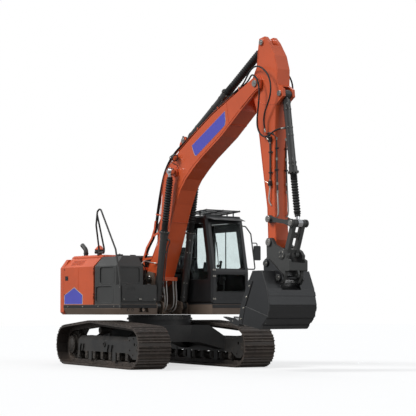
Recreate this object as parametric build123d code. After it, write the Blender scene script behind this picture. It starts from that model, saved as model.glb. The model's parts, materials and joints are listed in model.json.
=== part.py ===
from build123d import *
import math
import os

# Crawler excavator of the 15 tonne class, in millimetres. The origin is on the ground under
# the swing axis, +X is the way the cab faces, +Y its left, +Z up. The working arm is drawn in
# the vertical X-Z plane; the undercarriage is drawn square and then turned by TRACK_TURN.

os.makedirs("parts", exist_ok=True)

# ---------------------------------------------------------------- driving dimensions
TRACK_TURN = -11.0        # the tracks stand turned this many degrees from the cab's heading
GAUGE = 2030              # between the centres of the two tracks
SHOE_WIDTH = 600
SHOE_COUNT = 49
IDLER_X = 1582
IDLER_HUB = 120           # half width of the idler's hub, between the fork's arms
SPROCKET_X = -1464
WRAP_R = 368              # to the tips of the lugs, round the idler and the sprocket
LUG = 25                  # height of the lugs on the shoes
SHOE_PLATE = 14
CHAIN_DEPTH = 70          # the link chain under the shoe plates
RAIL_Y = (48, 86)         # each of the chain's two rails of links, from the track's middle
CARRIER_X = -200
CARRIER_R = 62
TRACK_PEAK = 832          # top of the lugs over the carrier roller
RING_R = 602              # swing bearing
RING_Z = (835, 925)

DECK_Z = (925, 1110)      # revolving frame, underside and top
LEDGE_Z = 1160            # top of the ledge that the body panels stand on
HOUSE_HALF = 1190         # half the house's width
TAIL_R = 1970             # swing radius of the counterweight
SEAM_X = -400             # front edge of the engine compartment
TANK_FRONT = 310          # front wall of the tank beside the boom
BOX_FRONT = 480           # front of the low tool box
SHOULDER_Z = 1800         # where the side panels start to lean in
HOOD_Z = 1975

CAB_X = (-620, 1060)      # rear wall and foot of the windscreen
CAB_Y = (385, 1268)
CAB_Z = (1130, 2735)
SILL_Z = 1705             # foot of the upper windscreen
SCREEN_TOP = (885, 2665)
CAB_WALL = 45

# pins of the working arm, side view (x, z)
BOOM_FOOT = (0, 1580)
BOOM_CYL_FOOT = (316, 1085)
BOOM_CYL_EYE = (732, 3494)
ARM_CYL_FOOT = (870, 4050)
ARM_CYL_EYE = (3050, 5500)
BOOM_TIP = (2940, 4810)
BUCKET_CYL_FOOT = (3500, 4580)
ROCKER_PIN = (3270, 2507)
ROCKER_TIP = (3780, 2420)
LINK_FOOT = (3600, 1910)
BUCKET_PIN = (3290, 2120)

BOOM_HALF = 185           # half the width over the boom's side plates
BOOM_CYL_Y = 300          # the two boom cylinders' distance from the middle
ARM_HALF = 135
BUCKET_HALF = 515
PLATE = 25
PIN_R = 35
RUN = 0.05                # radial play of a pin in its bore

# hinges of the doors and lids: upright ones (x, y), level ones (x, z)
KNUCKLE_R = 12
CAB_DOOR_AXIS = (-82, 1283)
RIGHT_DOOR_AXIS = (-402, -1204)
LEFT_DOOR_AXIS = (-1398, 1204)
HOOD_AXIS = (-1384, 2012)
LID_AXIS = (484, 1464)


# ---------------------------------------------------------------- helpers
def block(x, y, z):
    """A box from three (low, high) pairs."""
    size = [high - low for low, high in (x, y, z)]
    middle = [(high + low) / 2 for low, high in (x, y, z)]
    return Pos(*middle) * Box(*size)


def side_face(points, corner=0.0):
    """A face in the X-Z plane from (x, z) points, its corners rounded."""
    face = Plane.XZ * make_face(Polyline(*[(x, z) for x, z in points], close=True))
    return fillet(face.vertices(), corner) if corner else face


def side_plate(points, y, corner=0.0):
    """That face as a plate from y[0] to y[1]."""
    return Pos(0, y[1], 0) * extrude(side_face(points, corner), amount=y[1] - y[0])


def floor_plate(points, z, corner=0.0):
    """A plate from (x, y) points, from z[0] to z[1]."""
    face = make_face(Polyline(*points, close=True))
    if corner:
        face = fillet(face.vertices(), corner)
    return Pos(0, 0, z[0]) * extrude(face, amount=z[1] - z[0])


def front_plate(points, x):
    """A plate from (y, z) points, from x[0] to x[1]."""
    face = Plane.YZ * make_face(Polyline(*points, close=True))
    return Pos(x[0], 0, 0) * extrude(face, amount=x[1] - x[0])


def cross_bar(point, radius, y):
    """A round bar along Y at the side-view point, from y[0] to y[1]."""
    bar = Rot(90, 0, 0) * Cylinder(radius, y[1] - y[0])
    return Pos(point[0], (y[0] + y[1]) / 2, point[1]) * bar


def bar(start, end, radius):
    """A round bar between two points in space."""
    start, end = Vector(*start), Vector(*end)
    plane = Plane(origin=start, z_dir=end - start)
    return plane * Cylinder(radius, (end - start).length, align=(Align.CENTER, Align.CENTER, Align.MIN))


def bent_tube(points, radius, bend):
    """A tube of straight runs and round bends."""
    path = FilletPolyline(*points, radius=bend)
    first = Vector(*points[1]) - Vector(*points[0])
    section = Plane(origin=points[0], z_dir=first) * Circle(radius)
    return sweep(section, path=path)


def along(start, end, distance):
    """The side-view point at a distance from start towards end."""
    length = math.dist(start, end)
    return tuple(a + (b - a) * distance / length for a, b in zip(start, end))


def at_y(point, y):
    return (point[0], y, point[1])


def hose(points, diameter):
    """A hose along its route: straight runs joined by arcs as large as the runs allow."""
    route = [Vector(*point) for point in points]
    runs = [after - before for before, after in zip(route, route[1:])]
    radii = [0.45 * min(run.length, following.length) / math.tan(math.radians(run.get_angle(following) / 2))
             for run, following in zip(runs, runs[1:])]
    path = FilletPolyline(*points, radius=radii)
    tube = sweep(Plane(origin=points[0], z_dir=runs[0]) * Circle(diameter / 2), path=path)
    section = math.pi * diameter ** 2 / 4
    print(f"hose {path.length:.0f} long, volume {tube.volume / section / path.length:.3f} of section x length,",
          "radii", [round(radius) for radius in radii])
    return tube


def fitting(end, inward, diameter, length=35):
    """A round stub that carries a hose's end on in line; inward is the next point of its route."""
    end = Vector(*end)
    away = (end - Vector(*inward)).normalized()
    return bar(end, end + away * length, diameter / 2 + 5)


def upright_hinge(axis, leaf_x, leaf_y, z_pairs):
    """Knuckles about the upright axis (x, y), each with its leaf against the panel."""
    pieces = [bar((*axis, z0), (*axis, z1), KNUCKLE_R) + block(leaf_x, leaf_y, (z0, z1)) for z0, z1 in z_pairs]
    return pieces[0] + pieces[1:]


def level_hinge(axis, y_pairs):
    """Knuckles about the (x, z) axis along Y."""
    pieces = [cross_bar(axis, KNUCKLE_R, y) for y in y_pairs]
    return pieces[0] + pieces[1:]


def write(node, shape, turn=0.0):
    """One STEP file for a node, its solids turned about the swing axis."""
    solids = [s.rotate(Axis.Z, turn) for s in shape.solids()]
    export_step(solids[0] if len(solids) == 1 else Compound(children=solids), f"parts/{node}.step")


# ---------------------------------------------------------------- hose routes
HOSE = 28                 # diameter of the oil hoses along the boom
BUNDLE = (                # x, z of the hoses clipped behind and on top of the boom
    (-222, 1795), (-252, 1950), (-150, 2150), (10, 2325), (92, 2490), (122, 2650), (168, 2870), (225, 3090),
    (290, 3310), (375, 3515), (505, 3700), (700, 3860), (955, 4005), (1230, 4142), (1500, 4281), (1780, 4440),
    (2070, 4588), (2370, 4732), (2510, 4795),
)
BUNDLE_Y = (-168, -134, 134, 168)
CLIPS = ((5, 6), (13, 14), (15, 16))      # a clip stands halfway along each of these runs of the bundle
OUTER_HOSE = (            # x, y, z from the last clip over the boom's tip and down the arm's side
    (2510, -168, 4795), (2590, -168, 4831), (2690, -172, 4935), (2800, -192, 5035), (2925, -216, 5088),
    (3060, -236, 5088), (3195, -246, 5035), (3318, -248, 4928), (3390, -248, 4795), (3402, -244, 4655),
    (3368, -238, 4520), (3292, -230, 4400), (3212, -220, 4285), (3172, -206, 4165), (3176, -192, 4060),
    (3186, -184, 3965),
)
INNER_HOSE = (            # x, y, z from the same clip, closer round the tip, to the bucket cylinder's port
    (2510, -134, 4795), (2610, -134, 4840), (2720, -146, 4898), (2838, -200, 4948), (2940, -244, 4958),
    (3040, -256, 4900), (3097, -254, 4795), (3120, -252, 4660), (3105, -250, 4505), (3074, -246, 4345),
    (3044, -240, 4195), (3038, -232, 4060), (3090, -224, 3945), (3190, -218, 3878), (3305, -218, 3884),
    (3395, -205, 3940), (3456, -141, 3992), (3520, -64, 4005),
)
PORT_REACH = 84          # from the bucket cylinder's middle line to that hose's end
FOOT_HOSE = 22
FOOT_ROUTE = (            # x, z of the loops that hang from the boom's foot to the deck's front edge
    (275, 1535), (287, 1420), (308, 1300), (318, 1180), (300, 1072), (236, 1003), (155, 985),
)
FOOT_HOSES = (            # y at the boom, y at the deck, how much lower than the route the loop hangs
    (-130, -100, -30), (-55, -70, 12), (95, 85, -22), (165, 135, 20),
)
LIFT_HOSE = 18
LIFT_ROUTE = (            # x, y, z from the tank's inner wall over to the boom's side
    (160, -562, 1815), (125, -500, 1855), (80, -425, 1893), (38, -345, 1908), (44, -270, 1888),
    (112, -228, 1866), (180, -205, 1862),
)


def foot_hose_route(i):
    """Route of one loop under the boom's foot, its lowest stretch moved by its own drop."""
    y_boom, y_deck, drop = FOOT_HOSES[i]
    last = len(FOOT_ROUTE) - 1
    points = []
    for k, (x, z) in enumerate(FOOT_ROUTE):
        share = k / last
        points.append((x, y_boom + (y_deck - y_boom) * share, z - drop * share))
    return points


def mirrored_route(points):
    return [(x, -y, z) for x, y, z in points]


# ---------------------------------------------------------------- tracks
PITCH_R = WRAP_R - LUG - SHOE_PLATE - CHAIN_DEPTH / 2
CARRIER_PITCH_R = CARRIER_R + CHAIN_DEPTH / 2
CARRIER_Z = TRACK_PEAK - LUG - SHOE_PLATE - CHAIN_DEPTH - CARRIER_R
TRACK_WHEELS = (          # x, z, radius of the chain's middle line; counterclockwise from below
    (SPROCKET_X, WRAP_R, PITCH_R),
    (IDLER_X, WRAP_R, PITCH_R),
    (CARRIER_X, CARRIER_Z, CARRIER_PITCH_R),
)


def tangent(first, second):
    """Where the belt leaves one wheel and meets the next, and the belt's normal angle."""
    dx, dz = second[0] - first[0], second[1] - first[1]
    normal = math.atan2(dz, dx) - math.acos((first[2] - second[2]) / math.hypot(dx, dz))
    unit = (math.cos(normal), math.sin(normal))
    ends = [(w[0] + w[2] * unit[0], w[1] + w[2] * unit[1]) for w in (first, second)]
    return ends, normal


def belt_stretches():
    """Straight runs and arcs of the chain's middle line, each with its length."""
    stretches = []
    count = len(TRACK_WHEELS)
    for i in range(count):
        wheel, following = TRACK_WHEELS[i], TRACK_WHEELS[(i + 1) % count]
        ends, normal = tangent(wheel, following)
        _, next_normal = tangent(following, TRACK_WHEELS[(i + 2) % count])
        sweep_angle = (next_normal - normal) % (2 * math.pi)
        stretches.append(("run", ends, math.dist(*ends)))
        stretches.append(("arc", (following, normal, sweep_angle), following[2] * sweep_angle))
    return stretches


def belt_pins():
    """The chain's pins, evenly spaced along its middle line."""
    stretches = belt_stretches()
    pitch = sum(length for _, _, length in stretches) / SHOE_COUNT
    pins = []
    for i in range(SHOE_COUNT):
        s = i * pitch
        for kind, data, length in stretches:
            if s <= length:
                break
            s -= length
        if kind == "run":
            (x0, z0), (x1, z1) = data
            pins.append((x0 + (x1 - x0) * s / length, z0 + (z1 - z0) * s / length))
        else:
            wheel, normal, _ = data
            angle = normal + s / wheel[2]
            pins.append((wheel[0] + wheel[2] * math.cos(angle), wheel[1] + wheel[2] * math.sin(angle)))
    return pins


PINS = belt_pins()
SHOE_PITCH = math.dist(PINS[0], PINS[1])
CHORD_R = math.sqrt(PITCH_R ** 2 - (SHOE_PITCH / 2) ** 2)     # middle of a link on the wrap
WHEEL_GAP = 0.5           # between the chain and the wheels that carry it
WHEEL_R = CHORD_R - CHAIN_DEPTH / 2 - WHEEL_GAP
SHOE_TOP = CHAIN_DEPTH / 2 + SHOE_PLATE
VALLEY = 3                # height of the plate between two lugs over its edge
SHOE_OUTLINE = (          # share of the pitch along the shoe, height over the chain's middle line
    (0.05, SHOE_TOP), (0.08, SHOE_TOP + LUG), (0.16, SHOE_TOP + LUG), (0.29, SHOE_TOP + VALLEY),
    (0.42, SHOE_TOP + LUG), (0.50, SHOE_TOP + LUG), (0.63, SHOE_TOP + VALLEY),
    (0.76, SHOE_TOP + LUG), (0.84, SHOE_TOP + LUG), (0.88, SHOE_TOP),
)


def belt_outline(profile):
    """The profile repeated on every chord from pin to pin."""
    points = []
    for (x0, z0), (x1, z1) in zip(PINS, PINS[1:] + PINS[:1]):
        pitch = math.dist((x0, z0), (x1, z1))
        ux, uz = (x1 - x0) / pitch, (z1 - z0) / pitch
        for share, height in profile:
            u = share * pitch
            points.append((x0 + ux * u + uz * height, z0 + uz * u - ux * height))
    return points


def belt_ring(outer, inner, y):
    return side_plate(outer, y) - side_plate(inner, (y[0] - 5, y[1] + 5))


def track(y):
    """One closed track: the shoes' ring and the two narrow rails of links inside it."""
    shoe_inside = belt_outline(((0.0, CHAIN_DEPTH / 2 - 6),))
    rail_outside = belt_outline(((0.5, CHAIN_DEPTH / 2),))
    rail_inside = belt_outline(((0.0, -CHAIN_DEPTH / 2),))
    ring = belt_ring(belt_outline(SHOE_OUTLINE), shoe_inside, (y - SHOE_WIDTH / 2, y + SHOE_WIDTH / 2))
    for side in (-1, 1):
        ring += belt_ring(rail_outside, rail_inside, sorted(y + side * edge for edge in RAIL_Y))
    return ring


# ---------------------------------------------------------------- undercarriage
TRACK_Y = GAUGE / 2
BEAM_HALF = 140
BEAM_Z = (265, 545)
BEAM_X = (-1100, 1250)
BEAM_SECTION = (          # half section from the track's middle: outward, height
    (-BEAM_HALF, BEAM_Z[0]), (BEAM_HALF, BEAM_Z[0]), (BEAM_HALF, 475), (BEAM_HALF - 70, BEAM_Z[1]),
    (-BEAM_HALF + 40, BEAM_Z[1]), (-BEAM_HALF, 500),
)
RIB_XS = (-1010, -880, 250, 420)
GUIDE_XS = (-540, 540)
BEAM_BOSS = (120, 400)
ROLLER_R = 70
ROLLER_XS = [-1080 + 360 * i for i in range(7)]
CARRIER_GAP = 12          # the chain's links cut the corner over the carrier roller


def idlers():
    """Front wheels: a rim with a centre flange between the chain's rails, a dished web and a hub."""
    profile = ((0, 0), (0, IDLER_HUB), (75, IDLER_HUB), (85, 60), (WHEEL_R - 45, 45), (WHEEL_R - 35, 95),
               (WHEEL_R, 95), (WHEEL_R, 42), (WHEEL_R + 25, 34), (WHEEL_R + 25, 0))
    half = revolve(make_face(Plane.XY * Polyline(*profile, close=True)), Axis.Y)
    wheel = half + mirror(half, about=Plane.XZ)
    return [Pos(IDLER_X, side * TRACK_Y, WRAP_R) * wheel for side in (-1, 1)]


MOTOR_HALF = 128          # half width over the travel motor's case


def sprockets():
    """Toothed rims, each with its travel motor's case on the inside."""
    teeth = 21
    tip, root = WHEEL_R + 42, WHEEL_R - 8
    points = []
    for i in range(teeth):
        for share, radius in ((0.0, root), (0.3, root), (0.5, tip), (0.8, tip)):
            angle = 2 * math.pi * (i + share) / teeth
            points.append((SPROCKET_X + radius * math.cos(angle), WRAP_R + radius * math.sin(angle)))
    wheels = []
    for side in (-1, 1):
        y = side * TRACK_Y
        rim = side_plate(points, (y - 35, y + 35))
        case = cross_bar((SPROCKET_X, WRAP_R), 190, (y - 70, y + 70))
        case += cross_bar((SPROCKET_X, WRAP_R), 160, (y - MOTOR_HALF, y + MOTOR_HALF))
        wheels.append(rim + case)
    return wheels


def rollers():
    """Bottom rollers between their end brackets, and the carrier rollers on their posts."""
    solids = []
    tread_z = LUG + SHOE_PLATE + CHAIN_DEPTH + WHEEL_GAP + ROLLER_R
    for side in (-1, 1):
        y = side * TRACK_Y
        for x in ROLLER_XS:
            roller = cross_bar((x, tread_z), ROLLER_R, (y - 98, y + 98))
            for end in (-1, 1):
                y_end = y + end * 118
                roller += block((x - 55, x + 55), (y_end - 20, y_end + 20), (tread_z - 45, BEAM_Z[0]))
            solids.append(roller)
        top = cross_bar((CARRIER_X, CARRIER_Z - CARRIER_GAP), CARRIER_R, (y - 92, y + 92))
        y_post = y - side * 105
        top += block((CARRIER_X - 45, CARRIER_X + 45), (y_post - 15, y_post + 15),
                     (BEAM_Z[1], CARRIER_Z + 20))
        solids.append(top)
    return solids


def track_frames():
    """Box beams along each track, bevelled above, with guard plates beside the idler, ribs, chain
    guides between the rollers and a ring for the travel motor."""
    z0, z1 = BEAM_Z
    x0, x1 = BEAM_X
    outline = ((x0, z0), (x1 - 80, z0), (x1, z0 + 60), (x1, z1 - 60), (x1 - 80, z1), (x0, z1))
    guard = ((1140, z1), (1500, 560), (1630, 480), (1660, WRAP_R), (1600, 240), (1480, 165), (1330, 165), (1140, z0))
    motor_plate = ((-1600, 300), (x0 - 80, z0), (x0 + 60, z0), (x0 + 60, z1), (x0 - 80, z1), (-1600, 440))
    frames = []
    for side in (-1, 1):
        y = side * TRACK_Y
        section = [(y + side * dy, z) for dy, z in BEAM_SECTION]
        frame = side_plate(outline, (y - BEAM_HALF, y + BEAM_HALF)) & front_plate(section, (x0, x1))
        for end in (-1, 1):
            frame += side_plate(guard, sorted((y + end * IDLER_HUB, y + end * BEAM_HALF)), 20)
            for x in GUIDE_XS:
                frame += block((x - 70, x + 70), sorted((y + end * 118, y + end * BEAM_HALF)), (110, z0))
        frame -= cross_bar((1400, 420), 28, (y - 200, y + 200))
        for x in RIB_XS:
            rib = ((x, z0), (x + 18, z0), (x + 68, z0 + 130), (x + 50, z0 + 130))
            frame += side_plate(rib, sorted((y + side * (BEAM_HALF - 5), y + side * (BEAM_HALF + 22))))
        boss = sorted((y + side * (BEAM_HALF - 5), y + side * (BEAM_HALF + 18)))
        frame += cross_bar(BEAM_BOSS, 48, boss)
        frame -= cross_bar(BEAM_BOSS, 28, [edge + side * 10 for edge in boss])
        y_motor = sorted((y - side * MOTOR_HALF, y - side * 150))
        frame += side_plate(motor_plate, y_motor) + cross_bar((SPROCKET_X, WRAP_R), 175, y_motor)
        frames.append(frame)
    return frames


def carbody():
    """The X-shaped middle frame: its plan and its front profile meet in one solid."""
    arm_x, waist_x, y_end = 900, 330, TRACK_Y - BEAM_HALF
    plan = ((-arm_x, -y_end), (-arm_x + 330, -y_end), (0, -waist_x), (arm_x - 330, -y_end), (arm_x, -y_end),
            (640, -330), (640, 330), (arm_x, y_end), (arm_x - 330, y_end), (0, waist_x),
            (-arm_x + 330, y_end), (-arm_x, y_end), (-640, 330), (-640, -330))
    profile = ((-y_end, 300), (-450, 440), (450, 440), (y_end, 300), (y_end, 540), (620, 740), (-620, 740),
               (-y_end, 540))
    legs = floor_plate(plan, (250, 800)) & front_plate(profile, (-1000, 1000))
    drum = Pos(0, 0, (640 + RING_Z[0]) / 2) * Cylinder(RING_R - 30, RING_Z[0] - 640)
    hatch = Pos(0, 0, 430) * Cylinder(170, 20)
    return legs + drum + hatch


def swing_bearing():
    z0, z1 = RING_Z
    ring = Pos(0, 0, (z0 + z1) / 2) * Cylinder(RING_R - 25, z1 - z0)
    flange = Pos(0, 0, z0 + 15) * Cylinder(RING_R, 30)
    return ring + flange - Pos(0, 0, (z0 + z1) / 2) * Cylinder(RING_R - 130, z1 - z0 + 10)


# ---------------------------------------------------------------- house
FOOT_PLATE_Y = (195, 228)      # the two main plates that carry the boom's foot
OUTER_LUG_Y = (344, 368)       # outer lug at each boom cylinder's foot
TAIL_FRONT = -1400             # front face of the counterweight
SKIRT_IN = 50                  # how far the skirt leans in at its foot
SKIRT_TOP = 1045


def deck():
    """Revolving frame: a thick plate with the boom's brackets, the cylinders' lugs, skirts drawn in
    below, the cab's four mounts and a lamp in a recess of its front edge."""
    z0, z1 = DECK_Z[0] + 5, DECK_Z[1]
    left, right = CAB_Y[1], -HOUSE_HALF
    plan = ((TAIL_FRONT, right), (BOX_FRONT, right), (BOX_FRONT, -420), (120, -420), (120, CAB_Y[0]),
            (CAB_X[1], CAB_Y[0]), (CAB_X[1], left), (TAIL_FRONT, left))
    frame = floor_plate(plan, (z0, z1))
    for edge, inward in ((right, 1), (left, -1)):
        outer = edge - 5 * inward
        skirt = ((outer, z0 - 5), (edge + SKIRT_IN * inward, z0 - 5), (outer, SKIRT_TOP))
        frame -= front_plate(skirt, (TAIL_FRONT - 10, CAB_X[1] + 10))
    bracket = ((-330, z0), (360, z0), (410, 1040), (400, 1150), (240, 1190), (170, 1450), (120, 1690),
               (-60, 1720), (-160, 1600), (-365, z1))
    lug = ((220, z0), (380, z0), (400, 1040), (395, 1120), (350, 1155), (270, 1150))
    for side in (-1, 1):
        frame += side_plate(bracket, sorted(side * y for y in FOOT_PLATE_Y), 20)
        frame += side_plate(lug, sorted(side * y for y in OUTER_LUG_Y), 20)
        frame += block((120, 240), sorted((side * FOOT_PLATE_Y[0], side * OUTER_LUG_Y[1])), (z0, 1020))
    frame -= cross_bar(BOOM_FOOT, PIN_R + 10 + RUN, (-400, 400))
    frame -= cross_bar(BOOM_CYL_FOOT, PIN_R + RUN, (-400, 400))
    for x in (CAB_X[0] + 120, CAB_X[1] - 120):
        for y in (CAB_Y[0] + 110, CAB_Y[1] - 110):
            frame += Pos(x, y, (z1 + CAB_Z[0]) / 2) * Cylinder(60, CAB_Z[0] - z1)
    recess = front_plate(((-820, 970), (-600, 970), (-620, 1065), (-800, 1065)), (BOX_FRONT - 60, BOX_FRONT + 10))
    frame -= recess
    lamp = Pos(BOX_FRONT - 38, -710, 1015) * Rot(0, 90, 0) * Cylinder(34, 50)
    frame += lamp
    for i in range(len(FOOT_HOSES)):
        route = foot_hose_route(i)
        frame += fitting(route[-1], route[-2], FOOT_HOSE, 60)
    return frame


def pins_house():
    """The boom's foot pin and the two cylinders' foot pins, fast in the frame."""
    foot = cross_bar(BOOM_FOOT, PIN_R + 10, (-250, 250))
    low = cross_bar(BOOM_CYL_FOOT, PIN_R, (FOOT_PLATE_Y[0], OUTER_LUG_Y[1]))
    return [foot, low, mirror(low, about=Plane.XZ)]


LIFT_HOLES = ((-1640, -520), (-1640, 520))
LIFT_HOLE_R = 18
LIFT_HOLE_DEPTH = 90


def counterweight():
    """Cast tail: round back about the swing axis, drawn in below, with a broad shoulder above."""
    z = (DECK_Z[0] + 5, HOOD_Z - 20)
    disc = Pos(0, 0, sum(z) / 2) * Cylinder(TAIL_R, z[1] - z[0])
    body = disc & block((-2100, TAIL_FRONT), (-HOUSE_HALF, HOUSE_HALF), z)
    body = fillet(body.edges().filter_by(Axis.Z).sort_by(Axis.X)[:2], 240)
    front = body.edges().filter_by(Axis.Y).filter_by_position(Axis.X, TAIL_FRONT - 1, TAIL_FRONT + 1)
    rims = [body.faces().sort_by(Axis.Z)[i].edges() - front for i in (0, -1)]
    body = chamfer(rims[1], 110, 160)
    lower = body.faces().sort_by(Axis.Z)[0].edges() - front
    body = chamfer(lower, 45)
    for x, y in LIFT_HOLES:
        body -= Pos(x, y, z[1]) * Cylinder(LIFT_HOLE_R, 2 * LIFT_HOLE_DEPTH)
    return body


def body_profile(side, depth):
    """Side-panel section in (y, z): upright, then leaning in over the shoulder."""
    outer = ((HOUSE_HALF, DECK_Z[1]), (HOUSE_HALF, SHOULDER_Z), (HOUSE_HALF - 170, HOOD_Z - 10))
    inner = ((HOUSE_HALF - 170 - depth, HOOD_Z - 10), (HOUSE_HALF - depth, SHOULDER_Z - 15),
             (HOUSE_HALF - depth, DECK_Z[1]))
    return [(side * y, z) for y, z in outer + inner]


SHOULDER_LEAN = 44.1      # slope of the shoulder in degrees
SLOT_COUNT = 11
SLOT_WIDTH = 14
SLOT_STEP = 36
SLOTS_FROM = -1215


def side_door(side):
    """Engine-room door, one panel from the ledge over the shoulder, with air slots in the shoulder."""
    x_front = SEAM_X - 10 if side < 0 else REAR_PANEL_X[0] - 5
    door = front_plate(body_profile(side, 40), (TAIL_FRONT + 5, x_front))
    middle_y, middle_z = HOUSE_HALF - 85, (SHOULDER_Z + HOOD_Z - 10) / 2
    for i in range(SLOT_COUNT):
        slot = Rot(-side * SHOULDER_LEAN, 0, 0) * Box(SLOT_WIDTH, 130, 100)
        door -= Pos(SLOTS_FROM + i * SLOT_STEP, side * middle_y, middle_z) * slot
    if side < 0:
        axis, leaf_x = RIGHT_DOOR_AXIS, (RIGHT_DOOR_AXIS[0] - 50, RIGHT_DOOR_AXIS[0])
    else:
        axis, leaf_x = LEFT_DOOR_AXIS, (LEFT_DOOR_AXIS[0], LEFT_DOOR_AXIS[0] + 50)
    leaf_y = sorted((side * (HOUSE_HALF - 4), side * (HOUSE_HALF + 7)))
    return door + upright_hinge(axis, leaf_x, leaf_y, ((1210, 1270), (1660, 1720)))


REAR_PANEL_X = (CAB_X[0] - 70, CAB_X[0] - 40)     # wall behind the cab


def bulkhead():
    """Wall between engine room and boom, stepping back behind the cab, under the hood's edge."""
    z = (DECK_Z[1], HOOD_Z - 5)
    step_y = CAB_Y[0] - 25
    wall = block((SEAM_X, SEAM_X + 30), (-600, step_y), z)
    wall += block((REAR_PANEL_X[0], SEAM_X + 30), (step_y - 30, step_y), z)
    wall += block(REAR_PANEL_X, (step_y - 30, HOUSE_HALF - 60), z)
    return wall


HOOD_HALF = HOUSE_HALF - 180
COVER_Y = -560            # left edge of the fixed cover over the pump room


def engine_hood():
    """Lid over the engine room, cut back beside the cab, with two raised ribs and its hinge."""
    front, back = SEAM_X + 25, TAIL_FRONT + 5
    notch_x, notch_y = REAR_PANEL_X[1], CAB_Y[0] - 20
    plan = ((back, COVER_Y + 6), (front, COVER_Y + 6), (front, notch_y), (notch_x, notch_y), (notch_x, HOOD_HALF),
            (back, HOOD_HALF))
    hood = floor_plate(plan, (HOOD_Z, HOOD_Z + 45))
    hood = chamfer(hood.faces().sort_by(Axis.Z)[-1].edges(), 30)
    for x in (-1180, -880):
        rib = block((x - 60, x + 60), (COVER_Y + 90, HOOD_HALF - 110), (HOOD_Z + 40, HOOD_Z + 60))
        hood += chamfer(rib.faces().sort_by(Axis.Z)[-1].edges(), 12)
    return hood + level_hinge(HOOD_AXIS, ((-400, -260), (640, 780)))


def pump_cover():
    """Fixed top cover that the exhaust and the air pre-cleaner stand on, on two legs of the frame."""
    cover = block((TAIL_FRONT + 5, SEAM_X + 25), (-HOOD_HALF, COVER_Y), (HOOD_Z - 5, HOOD_Z + 45))
    cover = chamfer(cover.faces().sort_by(Axis.Z)[-1].edges(), 30)
    for x in (TAIL_FRONT + 45, SEAM_X - 60):
        cover += block((x - 25, x + 25), (COVER_Y - 60, COVER_Y - 10), (DECK_Z[1], HOOD_Z))
    return cover


def engine():
    return block((-1330, -760), (-520, 620), (DECK_Z[1], 1780))


TANK_RECESS = 16


def tank():
    """Tall tank beside the boom, its shoulders leaning in all round, with recessed panels and a cap."""
    side, inner = -HOUSE_HALF, -605
    outline = ((side, DECK_Z[1]), (side, SHOULDER_Z), (side + 170, HOOD_Z), (inner - 60, HOOD_Z),
               (inner, SHOULDER_Z), (inner, DECK_Z[1]))
    body = front_plate(outline, (SEAM_X + 35, TANK_FRONT))
    front_slope = ((TANK_FRONT + 5, SHOULDER_Z), (TANK_FRONT + 5, HOOD_Z + 5), (TANK_FRONT - 65, HOOD_Z + 5),
                   (TANK_FRONT, SHOULDER_Z))
    body -= side_plate(front_slope, (side - 5, inner + 5))
    upper = side_plate(((-205, 1480), (250, 1480), (250, 1785), (-205, 1785)), (side - 5, side + TANK_RECESS), 35)
    lower = side_plate(((-340, 1140), (220, 1140), (220, 1440), (-340, 1440)), (side - 5, side + TANK_RECESS), 45)
    front = block((TANK_FRONT - TANK_RECESS, TANK_FRONT + 5), (-1110, -680), (1500, 1775))
    front = fillet(front.edges().filter_by(Axis.X), 35)
    cap = bar((-60, -860, HOOD_Z - 5), (-60, -860, HOOD_Z + 38), 62)
    body -= upper + lower + front
    return body + chamfer(cap.faces().sort_by(Axis.Z)[-1].edges(), 10) + fitting(*LIFT_ROUTE[:2], LIFT_HOSE, 75)


def tool_box():
    box = block((TANK_FRONT + 2, BOX_FRONT - 12), (-HOUSE_HALF, -430), (DECK_Z[1], 1460))
    return box - block((TANK_FRONT + 30, BOX_FRONT + 12), (-HOUSE_HALF + 30, -460), (LEDGE_Z + 25, 1435))


def tool_box_lid():
    """Front lid with rounded upper corners, three air grooves and its hinge along the top."""
    lid = block((BOX_FRONT - 10, BOX_FRONT + 12), (-HOUSE_HALF + 4, -434), (LEDGE_Z + 4, 1456))
    lid = fillet(lid.edges().filter_by(Axis.X).group_by(Axis.Z)[-1], 38)
    for z in (1360, 1378, 1396):
        lid -= block((BOX_FRONT + 5, BOX_FRONT + 20), (-1120, -920), (z, z + 9))
    lid += block((BOX_FRONT + 10, BOX_FRONT + 24), (-840, -770), (LEDGE_Z + 30, LEDGE_Z + 60))
    return lid + level_hinge(LID_AXIS, ((-1080, -1000), (-640, -560)))


# ---------------------------------------------------------------- cab
def cab_outline(inset):
    """Cab side view, shrunk by the inset."""
    x0, x1 = CAB_X[0] + inset, CAB_X[1] - inset
    z0, z1 = CAB_Z[0] + inset, CAB_Z[1] - inset
    return ((x0, z0), (x1, z0), (x1, SILL_Z), (SCREEN_TOP[0] - inset, SCREEN_TOP[1] - inset / 2),
            (SCREEN_TOP[0] - 60 - inset, z1), (x0 + 90, z1), (x0, z1 - 110))


WINDOW_TOP = 2590
FRONT_POST = 95           # width of the posts beside the windscreen


def slope_x(z, inset):
    """The windscreen's line in side view, moved back by the inset."""
    share = (z - SILL_Z) / (SCREEN_TOP[1] - SILL_Z)
    return CAB_X[1] + (SCREEN_TOP[0] - CAB_X[1]) * share - inset


def sloping_window(x0, foot_z, inset):
    """A window whose front edge follows the windscreen's slope."""
    knee = ((slope_x(SILL_Z, inset), foot_z),) if foot_z < SILL_Z else ()
    bend_z = max(foot_z, SILL_Z)
    return ((x0, foot_z), *knee, (slope_x(bend_z, inset), bend_z), (slope_x(WINDOW_TOP, inset), WINDOW_TOP),
            (x0, WINDOW_TOP))


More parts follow.
